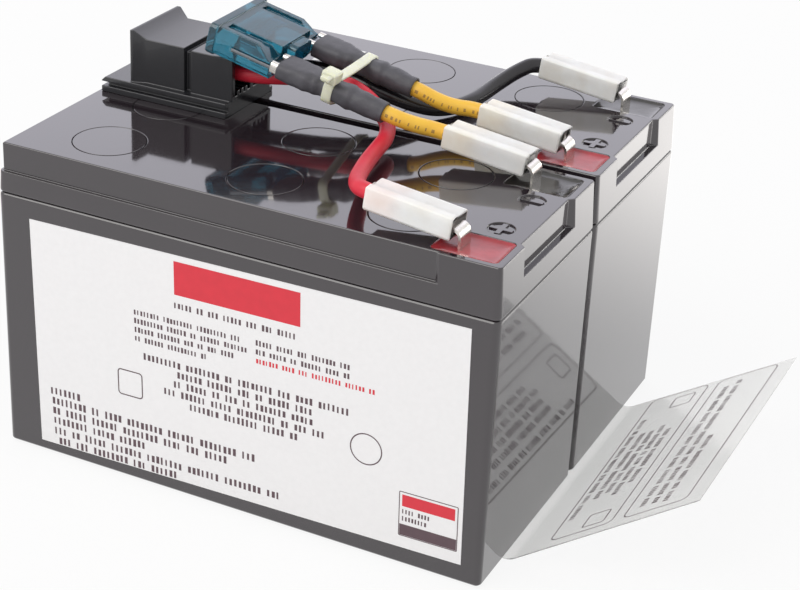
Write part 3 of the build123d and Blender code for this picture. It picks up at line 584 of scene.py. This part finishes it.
class CARTRIDGE_OT_resin(bpy.types.Operator):
    """Pour the resin into the four terminal wells, drawn up along their walls"""

    bl_idname = "cartridge.resin"
    bl_label = "Resin"

    # In millimetres, but for the cells along a side and the waves to a millimetre
    CELLS = 48
    CLIMB = 1.1
    RIM_DROP = 0.12
    WAVE_HEIGHT = 0.05
    WAVES = 0.25

    def surface(self, node):
        """Closed body of resin in the well that the node fills."""
        corners = [node.matrix_world @ Vector(corner) / MM for corner in node.bound_box]
        low = [min(c[k] for c in corners) for k in range(3)]
        high = [max(c[k] for c in corners) for k in range(3)]
        level = BATTERY_TOP - sizes().resin_depth / MM
        count = self.CELLS + 1
        points = []
        for i in range(count):
            for k in range(count):
                x = low[0] + (high[0] - low[0]) * i / self.CELLS
                y = low[1] + (high[1] - low[1]) * k / self.CELLS
                gap = min(x - low[0], high[0] - x, y - low[1], high[1] - y)
                climb = math.exp(-gap / self.CLIMB) * (BATTERY_TOP - self.RIM_DROP - level)
                wave = noise.noise(Vector((x, y, low[1])) * self.WAVES) * self.WAVE_HEIGHT
                points.append((x * MM, y * MM, (level + climb + wave) * MM))
        faces = [
            (i * count + k, (i + 1) * count + k, (i + 1) * count + k + 1, i * count + k + 1)
            for i in range(self.CELLS)
            for k in range(self.CELLS)
        ]
        edge = range(self.CELLS)
        rim = [i * count for i in edge] + [self.CELLS * count + k for k in edge]
        rim += [(self.CELLS - i) * count + self.CELLS for i in edge]
        rim += [self.CELLS - k for k in edge]
        first = len(points)
        points += [(points[i][0], points[i][1], low[2] * MM) for i in rim]
        total = len(rim)
        for i in range(total):
            j = (i + 1) % total
            faces.append((rim[i], first + i, first + j, rim[j]))
        faces.append(tuple(range(first + total - 1, first - 1, -1)))
        return points, faces

    def execute(self, context):
        # Epoxy, cast and cured in its well: a wet gloss with soft unevenness
        resin = {
            "positive": finish("epoxy_cast_red", "resin_red", 5, 0.18, (0.1, 0.18), 0.03, IOR=1.5),
            "negative": finish(
                "epoxy_cast_black", "resin_black", 5, 0.18, (0.08, 0.18), 0.03, IOR=1.55,
                Coat_Weight=0.3,
            ),
        }
        for side in SIDES:
            for polarity, material in resin.items():
                seal = f"seal_{side}_{polarity}"
                name = f"resin_{side}_{polarity}"
                mesh = mesh_of(name, *self.surface(nodes[seal]), smooth=True)
                slot = "resin_red" if polarity == "positive" else "resin_black"
                weigh_normals(piece(name, mesh, material, slot, seal))
        return {"FINISHED"}


class CARTRIDGE_OT_boots(bpy.types.Operator):
    """Finish the four insulating boots"""

    bl_idname = "cartridge.boots"
    bl_label = "Boots"

    # Where the lead's colour is painted into the boot, standing in for the lead seen through it, in
    # millimetres, and how much
    TAIL_X = 41.0
    SHOWN = 7.0
    SHARE = 0.13

    def paint_lead_through_boot(self, material, lead_colour):
        """Paints the lead's colour into the tail of the boot, where the lead would show through the
        nylon, fading out along the battery.
        """
        tree = material.node_tree
        place = add_node(tree, "ShaderNodeTexCoord").outputs["Object"]
        along = add_node(tree, "ShaderNodeSeparateXYZ", {0: place}).outputs[0]
        tail = self.TAIL_X * MM
        span = (tail + self.SHOWN * MM, tail)
        share = ranged(tree, along, span, (0, self.SHARE), "SMOOTHSTEP")
        # Painted tint: the lead seen through the nylon, laid into the boot's own colour
        mix_in_print_and_painted_tint(material, share, lead_colour)

    def execute(self, context):
        leads = {
            "front_positive": "red", "front_negative": "yellow",
            "rear_positive": "yellow", "rear_negative": "black",
        }
        for terminal, lead_colour in leads.items():
            # Unfilled nylon, moulded: milky, with light that sinks in and a waxy shine
            nylon_milky = finish(
                f"nylon_moulded_natural_{terminal}", "boot", 6, 0.09, (0.25, 0.4), 0.03,
                IOR=1.53, Subsurface_Weight=0.5, Subsurface_Radius=(1.0, 0.94, 0.9),
                Subsurface_Scale=2.5 * MM,
            )
            self.paint_lead_through_boot(nylon_milky, lead_colour)
            dress(f"boot_{terminal}", nylon_milky, sizes().boot_edge, 3)
        return {"FINISHED"}


class CARTRIDGE_OT_leads(bpy.types.Operator):
    """Run the four insulated leads along their routes"""

    bl_idname = "cartridge.leads"
    bl_label = "Leads"

    # The print: dashes to a length, and the rest in shares
    DASHES = 58.0
    BLANK = 0.55
    ROW = 0.42
    HALF_HEIGHT = 0.035
    STRENGTH = 0.6

    def print_dashes(self, material):
        """Faint dark dashes in one line along the lead."""
        tree = material.node_tree
        place = add_node(tree, "ShaderNodeTexCoord").outputs["UV"]
        split = add_node(tree, "ShaderNodeSeparateXYZ", {0: place}).outputs
        cell = calculate(tree, "FLOOR", calculate(tree, "MULTIPLY", split[0], self.DASHES))
        chance = add_node(tree, "ShaderNodeTexWhiteNoise", {"W": cell}, noise_dimensions="1D")
        chosen = calculate(tree, "GREATER_THAN", chance.outputs[0], self.BLANK)
        distance = calculate(tree, "ABSOLUTE", calculate(tree, "SUBTRACT", split[1], self.ROW))
        band = calculate(tree, "LESS_THAN", distance, self.HALF_HEIGHT)
        printed = calculate(tree, "MULTIPLY", chosen, band)
        mix_in_print_and_painted_tint(material, calculate(tree, "MULTIPLY", printed, self.STRENGTH), "ink_dark")

    def execute(self, context):
        # Polyvinyl chloride, extruded over strands: saturated and softly glossy
        shines = {"red": (0.38, 0.48), "black": (0.18, 0.28), "yellow": (0.35, 0.45)}
        materials = {}
        for colour, shine in shines.items():
            materials[colour] = finish(
                f"pvc_extruded_{colour}", colour, 6, 0.06, shine, 0.006, IOR=1.5
            )
        self.print_dashes(materials["yellow"])
        for name, (length, *route) in LEADS.items():
            colour = name.split("_")[1]
            curve = bpy.data.curves.new(f"lead_{name[5:]}", "CURVE")
            curve.dimensions = "3D"
            curve.resolution_u = 12
            curve.bevel_depth = sizes().lead_diameter / 2
            curve.bevel_resolution = 8
            curve.use_fill_caps = True
            spline = curve.splines.new("NURBS")
            spline.points.add(len(route) - 1)
            for point, at in zip(spline.points, route):
                point.co = (at[0] * MM, at[1] * MM, at[2] * MM, 1)
            spline.order_u = 3
            spline.use_endpoint_u = True
            lead = piece(f"lead_{name[5:]}", curve, materials[colour], f"wire_{colour}", name)
        return {"FINISHED"}


class CARTRIDGE_OT_fuse(bpy.types.Operator):
    """Finish the transparent fuse and the element inside it"""

    bl_idname = "cartridge.fuse"
    bl_label = "Fuse"

    STAMPED_EDGE = 0.08 * MM

    def execute(self, context):
        # Polycarbonate, moulded clear and dyed: glassy teal with darker edges
        polycarbonate_teal = finish(
            "polycarbonate_moulded_teal", "fuse", 9, 0.08, (0.02, 0.05), 0.002, IOR=1.58,
            Transmission_Weight=0.85,
        )
        # Zinc strip, stamped: pale grey metal with a fine drawn grain
        zinc_stamped = finish("zinc_stamped", "#8b8f94", 0.8, 0.1, (0.25, 0.4), 0.003, Metallic=1.0)
        dress("fuse_housing", polycarbonate_teal, sizes().small_edge)
        dress("fuse_element", zinc_stamped, self.STAMPED_EDGE)
        return {"FINISHED"}


class CARTRIDGE_OT_sleeves(bpy.types.Operator):
    """Shrink the two sleeves over the fuse receptacles, with the lumps that they follow"""

    bl_idname = "cartridge.sleeves"
    bl_label = "Sleeves"

    AROUND = 56
    ROWS = 90
    # Share of the length, width, height and squareness of the sleeve
    STATIONS = (
        (0.00, 10.5, 5.2, 3.4), (0.12, 10.4, 5.7, 3.4), (0.25, 10.2, 5.9, 3.2),
        (0.34, 8.6, 6.1, 2.7), (0.41, 6.8, 5.9, 2.5), (0.56, 6.8, 5.9, 2.5), (0.66, 7.3, 6.8, 2.4),
        (0.71, 6.6, 6.2, 2.2), (0.78, 6.6, 6.5, 2.1), (1.00, 5.9, 5.9, 2.0),
    )
    # Rings of the mouth: how far in they stand and how much narrower they are
    MOUTH = ((2.2, 1.0), (0.15, 1.0), (0.0, 0.5))
    # The tail: its gap round the lead, and how far it is tucked in
    TAIL_GAP = 0.1
    TUCK = 1.0
    # The lumps: coarse and fine to a millimetre, and how fast they set in along the sleeve
    COARSE = 0.42
    FINE = 1.3
    FINE_SHARE = 0.35
    ONSET = 6
    SEED_STEP = 11

    def section(self, share):
        """Width, height and squareness of the sleeve at one share of its length."""
        for low, high in zip(self.STATIONS, self.STATIONS[1:]):
            if share <= high[0]:
                t = (share - low[0]) / (high[0] - low[0])
                t = t * t * (3 - 2 * t)
                return [a + (b - a) * t for a, b in zip(low[1:], high[1:])]
        return self.STATIONS[-1][1:]

    def ring(self, along, width, height, square, lumps=0.0, seed=0):
        points = []
        for i in range(self.AROUND):
            turn = 2 * math.pi * i / self.AROUND
            c, s = math.cos(turn), math.sin(turn)
            y = width / 2 * math.copysign(abs(c) ** (2 / square), c)
            z = height / 2 * math.copysign(abs(s) ** (2 / square), s)
            at = Vector((along, y, z))
            swell = noise.noise(at * self.COARSE + Vector((seed, 0, 0))) * lumps
            swell += noise.noise(at * self.FINE + Vector((0, seed, 0))) * lumps * self.FINE_SHARE
            points.append((at + Vector((0, c, s)) * swell) * MM)
        return points

    def execute(self, context):
        # Polyolefin, shrunk with hot air: dark grey, matt and puckered
        polyolefin_shrunk = finish(
            "polyolefin_shrunk", "sleeve", 1.6, 0.12, (0.42, 0.62), 0.05,
            stretch=(0.5, 1, 1), IOR=1.5,
        )
        lumps = sizes().sleeve_lumps / MM
        tail = sizes().lead_diameter / MM + self.TAIL_GAP
        for index, (side, sign) in enumerate(SIDES.items()):
            length = SLEEVE_LENGTHS[side]
            end = SLEEVE_START + length
            matrix = blade_frame(sign * BLADE_ROW)
            width, height, square = self.section(0)
            rings = [
                self.ring(SLEEVE_START + inset, width - narrower, height - narrower, square)
                for inset, narrower in self.MOUTH
            ]
            for k in range(self.ROWS + 1):
                share = k / self.ROWS
                along = SLEEVE_START + share * length
                grown = lumps * min(1, self.ONSET * share)
                seed = self.SEED_STEP * index
                rings.append(self.ring(along, *self.section(share), grown, seed))
            rings += [self.ring(along, tail, tail, 2) for along in (end, end - self.TUCK)]
            points = [matrix @ point for ring in rings for point in ring]
            faces = tube_faces(len(rings), self.AROUND)
            faces.append(tuple(range(self.AROUND))[::-1])
            faces.append(tuple(range(len(points) - self.AROUND, len(points))))
            name = f"sleeve_shrunk_{side}"
            mesh = mesh_of(name, points, faces, smooth=True)
            piece(name, mesh, polyolefin_shrunk, "shrink_sleeve", f"sleeve_{side}")
        return {"FINISHED"}


class CARTRIDGE_OT_tie(bpy.types.Operator):
    """Loop the cable tie round both sleeves and the black lead, with its head in front"""

    bl_idname = "cartridge.tie"
    bl_label = "Cable tie"

    # The loop, in millimetres: the slack is round the black lead, the dip between the sleeves
    AT = 38.8
    HALF_WIDE = 14.15
    HALF_HIGH = 3.35
    SLACK = 5.4
    SLACK_WIDTH = 5.1
    CORNER = 2.4
    DIP = 0.35
    STEPS = 8
    # The strap's section: its chamfer, and the share of the thickness under it
    CHAMFER = 0.25
    SIDE_SHARE = 0.75
    # The head with the inset and depth of its pocket, and the cut end of the strap
    HEAD = (4.7, 4.6, 3.5)
    HEAD_AT = (AT, 1.0 - HALF_WIDE, HALF_HIGH + 1.7)
    POCKET = (0.7, 0.8)
    END_LENGTH = 2.6
    END_AT = (AT, -2.2 - HALF_WIDE, HALF_HIGH + 2.1)
    ROUNDED = 0.22

    def loop(self):
        """Points of the rounded loop in the plane across the sleeves, as (y, z)."""
        low = -self.HALF_HIGH - self.SLACK
        corners = [
            (-self.HALF_WIDE, self.HALF_HIGH), (-self.HALF_WIDE, -self.HALF_HIGH),
            (self.HALF_WIDE - self.SLACK_WIDTH, low), (self.HALF_WIDE, low),
            (self.HALF_WIDE, self.HALF_HIGH),
        ]
        path = []
        for i, corner in enumerate(corners):
            at = Vector(corner)
            following = Vector(corners[(i + 1) % len(corners)])
            before = (Vector(corners[i - 1]) - at).normalized()
            after = (following - at).normalized()
            start, end = at + before * self.CORNER, at + after * self.CORNER
            for k in range(self.STEPS + 1):
                t = k / self.STEPS
                path.append(start.lerp(at, t).lerp(at.lerp(end, t), t))
            far = following - after * self.CORNER
            dip = self.DIP if i == len(corners) - 1 else 0
            for k in range(1, self.STEPS):
                share = k / self.STEPS
                fall = Vector((0, dip)) * math.sin(math.pi * share)
                path.append(end.lerp(far, share) - fall)
        return path

    def block(self, made, matrix, size, at):
        """Adds a rounded block to the mesh, and gives the highest face of all."""
        grown = bmesh.ops.create_cube(made, size=1.0)["verts"]
        bmesh.ops.scale(made, vec=[v * MM for v in size], verts=grown)
        place = Matrix.Translation(Vector(at) * MM)
        bmesh.ops.transform(made, matrix=matrix @ place, verts=grown)
        edges = {edge: None for vert in grown for edge in vert.link_edges}
        bmesh.ops.bevel(
            made, geom=list(edges), offset=min(size) * self.ROUNDED * MM, segments=3, profile=0.6,
            affect="EDGES",
        )
        return max(made.faces, key=lambda face: face.calc_center_median().z)

    def execute(self, context):
        # Natural nylon, moulded thin: pale yellow green, and light shows through it
        nylon_natural = finish(
            "nylon_moulded_tie", "tie", 4, 0.05, (0.22, 0.3), 0.002, IOR=1.53,
            Transmission_Weight=0.1, Subsurface_Weight=0.4, Subsurface_Radius=(1.0, 1.0, 0.6),
            Subsurface_Scale=1.5 * MM,
        )
        matrix = blade_frame(0)
        half = sizes().tie_width / MM / 2
        thick = sizes().tie_thickness / MM
        side = thick * self.SIDE_SHARE
        inner = half - self.CHAMFER
        profile = [(-half, 0.0), (-half, side), (-inner, thick)]
        profile += [(inner, thick), (half, side), (half, 0.0)]
        path = self.loop()
        points = []
        for i, at in enumerate(path):
            along = (path[(i + 1) % len(path)] - path[i - 1]).normalized()
            outward = Vector((-along.y, along.x))
            ring = [Vector((self.AT + x, *(at + outward * out))) * MM for x, out in profile]
            points += [matrix @ point for point in ring]
        faces = [
            [i % len(points) for i in face] for face in tube_faces(len(path) + 1, len(profile))
        ]
        mesh = mesh_of("cable_tie_nylon", points, faces)
        made = bmesh.new()
        made.from_mesh(mesh)
        top = self.block(made, matrix, self.HEAD, self.HEAD_AT)
        inset, depth = self.POCKET
        bmesh.ops.inset_region(made, faces=[top], thickness=inset * MM, depth=0.0)
        down = matrix.to_3x3() @ Vector((0, 0, -depth)) * MM
        bmesh.ops.translate(made, vec=down, verts=top.verts)
        self.block(made, matrix, (half * 2, self.END_LENGTH, thick), self.END_AT)
        bmesh.ops.recalc_face_normals(made, faces=made.faces)
        made.to_mesh(mesh)
        made.free()
        mesh.shade_smooth()
        weigh_normals(piece("cable_tie_nylon", mesh, nylon_natural, "tie_nylon", "cable_tie"))
        return {"FINISHED"}


class CARTRIDGE_OT_connector(bpy.types.Operator):
    """Finish the connector housing"""

    bl_idname = "cartridge.connector"
    bl_label = "Connector"

    def execute(self, context):
        # Polycarbonate, moulded in fine-blasted steel: black with a soft broken shine
        polycarbonate_black = finish(
            "polycarbonate_moulded_black", "connector", 2.2, 0.08, (0.2, 0.28), 0.0015,
            IOR=1.58, Coat_Weight=0.2,
        )
        dress("connector_housing", polycarbonate_black, sizes().small_edge)
        return {"FINISHED"}


class CARTRIDGE_OT_film(bpy.types.Operator):
    """Finish the pull film and print its frames and dashes"""

    bl_idname = "cartridge.film"
    bl_label = "Pull film"

    # The printing, in millimetres along the flap from the fold and across it: low and high
    # corners of frames and signs, and the place, start and end of each row
    FRAMES = ((13.15, 3.7, 32.85, 92.8), (36.57, 3.7, 56.27, 92.8))
    CORNER = 2.2
    LINE = 0.32
    ROWS = (
        (15.6, 14.7, 79.0), (19.4, 25.0, 68.4), (22.6, 27.0, 67.0), (25.8, 24.0, 69.0),
        (29.0, 29.8, 64.6), (41.0, 8.2, 87.0), (44.8, 8.0, 89.0), (48.6, 7.0, 49.0),
    )
    DASH_HEIGHT = 2.0
    SIGNS = ((22.6, 6.2, 29.4, 13.4), (22.6, 82.0, 29.4, 89.2))
    SIGN_CORNER = 0.8
    SIGN_LINE = 0.35

    def execute(self, context):
        # Polyester film, cast and slightly hazed: white where light strikes it, clear edge on
        polyester_film = finish(
            "polyester_film", "film", 30, 0.015, (0.14, 0.2), 0.002, IOR=1.12,
            Transmission_Weight=0.8,
        )
        dress("pull_film", polyester_film)
        # Solvent ink, screen printed on the film: a thin dull line with a slightly uneven edge
        ink_purple = finish("ink_screen_printed_dark", "ink_dark", 2, 0.15, (0.4, 0.5), 0.002)
        rng = random.Random(sizes().print_seed)
        ink = Ink(film_place)
        for corners in self.FRAMES:
            ink.line(rounded_outline(*corners, self.CORNER, sides=24), self.LINE)
        for along, start, end in self.ROWS:
            dashes(ink, rng, start, end, along, self.DASH_HEIGHT, turned=True)
        for corners in self.SIGNS:
            ink.line(rounded_outline(*corners, self.SIGN_CORNER), self.SIGN_LINE)
        ink.dry("film_print", ink_purple, "film")
        return {"FINISHED"}


class CARTRIDGE_OT_label(bpy.types.Operator):
    """Finish the label and the sticker, and print plain fields and dashes on the label"""

    bl_idname = "cartridge.label"
    bl_label = "Label"

    # The printing, in millimetres along the face and up it: start, end, place and height of each
    # row, low and high corners of the fields, and centre and radius of the ring
    ROWS = (
        (-18.1, 20.5, 60.2, 1.9), (-31.1, 3.1, 55.0, 1.7), (-31.1, 5.0, 52.3, 1.7),
        (-31.0, 3.5, 49.6, 1.7), (-31.0, -7.6, 46.9, 1.7), (7.1, 36.4, 55.3, 1.7),
        (7.1, 36.0, 52.6, 1.7), (-28.4, 35.8, 41.8, 2.2), (-17.6, 25.6, 38.8, 2.2),
        (-18.8, 26.4, 35.8, 2.2), (-22.0, 29.8, 32.8, 2.2), (-13.8, 21.6, 29.8, 2.2),
        (-60.2, -45.8, 22.6, 2.4), (-59.8, 8.0, 19.4, 2.4), (-59.8, -1.0, 16.2, 2.4),
        (-59.6, -27.0, 13.0, 2.4), (-59.5, 15.5, 9.6, 2.4), (-58.2, -17.2, 6.4, 2.4),
        (51.5, 62.0, 16.4, 1.5), (51.5, 59.0, 14.2, 1.5),
    )
    RED_ROWS = ((7.2, 43.1, 49.9, 1.6),)
    RED_FIELDS = ((-18.0, 63.4, 20.5, 73.4), (51.4, 18.0, 66.8, 21.6))
    SIGN = (-37, 28, -29.2, 35.9)
    SIGN_CORNER = 1.0
    RING = (40.4, 32.2, 4.6)
    RING_STEPS = 60
    LINE = 0.35
    PANEL = (50.6, 8.8, 67.6, 22.4)
    PANEL_FOOT = (50.8, 9.0, 67.4, 12.4)
    PANEL_CORNER = 0.3
    PANEL_LINE = 0.25

    def print_rows(self, ink, rng, rows):
        for start, end, place, height in rows:
            dashes(ink, rng, start, end, place, height)

    def execute(self, context):
        # Coated paper, glued down: white, with a low even sheen
        paper_coated = finish("paper_coated", "paper", 1.5, 0.012, (0.38, 0.5), 0.004, IOR=1.45)
        # Copy paper, uncoated and cut: white and matt, with a soft fibre
        paper_plain = finish("paper_uncoated", "paper", 0.8, 0.03, (0.7, 0.85), 0.02, IOR=1.45)
        dress("label_front", paper_coated)
        dress("sticker", paper_plain)
        # Offset ink on paper: flat, and a little glossier than the sheet
        ink_red = finish("ink_offset_red", "ink_red", 3, 0.03, (0.3, 0.42), 0.001)
        ink_dark = finish("ink_offset_dark", "ink_dark", 3, 0.08, (0.35, 0.5), 0.001)
        rng = random.Random(sizes().print_seed + 1)
        dark = Ink(label_place)
        self.print_rows(dark, rng, self.ROWS)
        dark.line(rounded_outline(*self.SIGN, self.SIGN_CORNER), self.LINE)
        u, v, radius = self.RING
        ring = [(u + x, v + y) for x, y in circle(radius, self.RING_STEPS)]
        dark.line(ring, self.LINE)
        dark.line(rounded_outline(*self.PANEL, self.PANEL_CORNER), self.PANEL_LINE)
        dark.field(*self.PANEL_FOOT)
        dark.dry("label_print_dark", ink_dark, "label_paper")
        red = Ink(label_place)
        for corners in self.RED_FIELDS:
            red.field(*corners)
        self.print_rows(red, rng, self.RED_ROWS)
        red.dry("label_print_red", ink_red, "label_paper")
        return {"FINISHED"}


class CARTRIDGE_OT_stage(bpy.types.Operator):
    """Set up the floor, the soft lights, the surround and the camera"""

    bl_idname = "cartridge.stage"
    bl_label = "Stage"

    # The camera, in millimetres and degrees
    TARGET = Vector((17.044, 0, 58.1))
    AZIMUTH = 24.924
    ELEVATION = 25.760
    ROLL = 2.864
    DISTANCE = 570.82
    LENS = 88.758
    SHIFT_Y = -0.05625
    # The lamps: azimuth, elevation and distance, width and height, level, and colour
    LAMPS = {
        "softbox_behind": ((205, 27, 1.5), (2.4, 1.3), "softbox", "#e4e0ff"),
        "lit_table": ((155, 0, 0.38), (1.2, 0.64), "glow", "#fffaf6"),
        "strip_behind": ((146, 8, 1.3), (0.6, 0.16), "strip", "#fffcf8"),
        "softbox_front": ((-30, 48, 1.5), (1.0, 1.0), "key", "#fffdf9"),
    }
    # The lit table: its height, and the shares of its depth where it starts and is in full
    TABLE_HEIGHT = 1 * MM
    TABLE_FADE = (0.96, 0.6)
    WHITE = (1, 1, 1, 1)
    # The floor, with the share of it that is seen as white
    FLOOR_HALF = 4.0
    FLOOR_DROP = 0.02 * MM
    FLOOR_WHITE = 0.88

    def show(self, tree, output, lit, seen, share=1.0):
        """Shows camera, glossy and transmission rays one shader, and lights by the other."""
        path = add_node(tree, "ShaderNodeLightPath").outputs
        direct = calculate(tree, "MAXIMUM", path["Is Camera Ray"], path["Is Glossy Ray"])
        direct = calculate(tree, "MAXIMUM", direct, path["Is Transmission Ray"])
        inputs = {
            0: calculate(tree, "MULTIPLY", direct, share), 1: lit.outputs[0], 2: seen.outputs[0]
        }
        mixed = add_node(tree, "ShaderNodeMixShader", inputs)
        add_node(tree, output, {"Surface": mixed.outputs[0]})

    def direction(self, azimuth, elevation):
        """Direction from the object: azimuth 0 is in front and 90 to the right, in degrees."""
        a = math.radians(azimuth)
        e = math.radians(elevation)
        return Vector((math.sin(a) * math.cos(e), -math.cos(a) * math.cos(e), math.sin(e)))

    def surround(self, level):
        world = bpy.data.worlds.new("surround")
        bpy.context.scene.world = world
        world.use_nodes = True
        tree = world.node_tree
        tree.nodes.clear()
        lit = add_node(tree, "ShaderNodeBackground", {"Color": self.WHITE, "Strength": level})
        seen = add_node(tree, "ShaderNodeBackground", {"Color": self.WHITE, "Strength": 1.0})
        self.show(tree, "ShaderNodeOutputWorld", lit, seen)

    def floor(self):
        """White floor that keeps a faint shadow where the camera sees it."""
        half = self.FLOOR_HALF
        corners = [(-half, -half), (half, -half), (half, half), (-half, half)]
        points = [(x, y, -self.FLOOR_DROP) for x, y in corners]
        made = placed("floor", mesh_of("floor", points, [(0, 1, 2, 3)]))
        material = bpy.data.materials.new("paper_sweep")
        material.use_nodes = True
        tree = material.node_tree
        tree.nodes.clear()
        lit = add_node(tree, "ShaderNodeBsdfDiffuse", {"Color": (*linear("#efefef"), 1)})
        seen = add_node(tree, "ShaderNodeEmission", {"Color": self.WHITE, "Strength": 1.0})
        self.show(tree, "ShaderNodeOutputMaterial", lit, seen, self.FLOOR_WHITE)
        made.data.materials.append(material)

    def lamp(self, name, place, size, power, colour):
        """Softbox that shines at the object, and that only reflections and its light show."""
        azimuth, elevation, distance = place
        aim = self.direction(azimuth, elevation)
        light = bpy.data.lights.new(name, "AREA")
        light.shape = "RECTANGLE"
        light.size, light.size_y = size
        light.energy = power
        light.color = linear(colour)
        made = placed(name, light)
        made.location = self.TARGET * MM + aim * distance
        made.rotation_euler = aim.to_track_quat("Z", "Y").to_euler()
        made.visible_camera = False
        made.visible_transmission = False
        return made

    def lay_down(self, made):
        """Lays a lamp on the table, shining up, and fades it in away from the object."""
        turn = self.LAMPS["lit_table"][0][0] - 180
        made.location.z = self.TABLE_HEIGHT
        made.rotation_euler = (math.pi, 0, math.radians(turn))
        made.data.use_nodes = True
        tree = made.data.node_tree
        place = add_node(tree, "ShaderNodeNewGeometry").outputs["Parametric"]
        across = add_node(tree, "ShaderNodeSeparateXYZ", {0: place}).outputs[1]
        level = ranged(tree, across, self.TABLE_FADE, kind="SMOOTHSTEP")
        tree.links.new(level, tree.nodes["Emission"].inputs["Strength"])

    def camera(self):
        data = bpy.data.cameras.new("camera")
        data.lens = self.LENS
        data.sensor_width = 36
        data.shift_y = self.SHIFT_Y
        data.clip_start = 0.01
        made = placed("camera", data)
        back = self.direction(self.AZIMUTH, self.ELEVATION)
        place = Matrix.Translation((self.TARGET + back * self.DISTANCE) * MM)
        turns = (self.AZIMUTH, "Z"), (90 - self.ELEVATION, "X"), (self.ROLL, "Z")
        for angle, axis in turns:
            place @= Matrix.Rotation(math.radians(angle), 4, axis)
        made.matrix_world = place
        bpy.context.scene.camera = made

    def execute(self, context):
        levels = context.scene.cartridge_stage
        self.surround(levels.surround)
        self.floor()
        for name, (place, size, level, colour) in self.LAMPS.items():
            made = self.lamp(name, place, size, getattr(levels, level), colour)
            if name == "lit_table":
                self.lay_down(made)
        self.camera()
        context.scene.view_settings.view_transform = "Standard"
        return {"FINISHED"}


class CARTRIDGE_PT_panel(bpy.types.Panel):
    """Steps that dress the cartridge"""

    bl_label = "Battery cartridge"
    bl_idname = "CARTRIDGE_PT_panel"
    bl_space_type = "VIEW_3D"
    bl_region_type = "UI"
    bl_category = "Cartridge"

    def draw(self, context):
        for operator in OPERATORS:
            self.layout.operator(operator.bl_idname)
        for name in GROUPS:
            group = getattr(context.scene, name)
            column = self.layout.column()
            for key in group.__annotations__:
                column.prop(group, key)


OPERATORS = (
    CARTRIDGE_OT_batteries, CARTRIDGE_OT_marks, CARTRIDGE_OT_terminals, CARTRIDGE_OT_resin,
    CARTRIDGE_OT_boots, CARTRIDGE_OT_leads, CARTRIDGE_OT_fuse, CARTRIDGE_OT_sleeves,
    CARTRIDGE_OT_tie, CARTRIDGE_OT_connector, CARTRIDGE_OT_film, CARTRIDGE_OT_label,
    CARTRIDGE_OT_stage,
)
GROUPS = {
    "cartridge_sizes": CartridgeSizes, "cartridge_colours": CartridgeColours,
    "cartridge_stage": CartridgeStage,
}


CLASSES = (*GROUPS.values(), *OPERATORS, CARTRIDGE_PT_panel)


def register():
    for made in CLASSES:
        bpy.utils.register_class(made)
    for key, group in GROUPS.items():
        setattr(bpy.types.Scene, key, PointerProperty(type=group))


def unregister():
    for key in GROUPS:
        delattr(bpy.types.Scene, key)
    for made in reversed(CLASSES):
        bpy.utils.unregister_class(made)


def main():
    register()
    bpy.ops.cartridge.batteries()
    bpy.ops.cartridge.marks()
    bpy.ops.cartridge.terminals()
    bpy.ops.cartridge.resin()
    bpy.ops.cartridge.boots()
    bpy.ops.cartridge.leads()
    bpy.ops.cartridge.fuse()
    bpy.ops.cartridge.sleeves()
    bpy.ops.cartridge.tie()
    bpy.ops.cartridge.connector()
    bpy.ops.cartridge.film()
    bpy.ops.cartridge.label()
    bpy.ops.cartridge.stage()


if __name__ == "__main__":
    main()
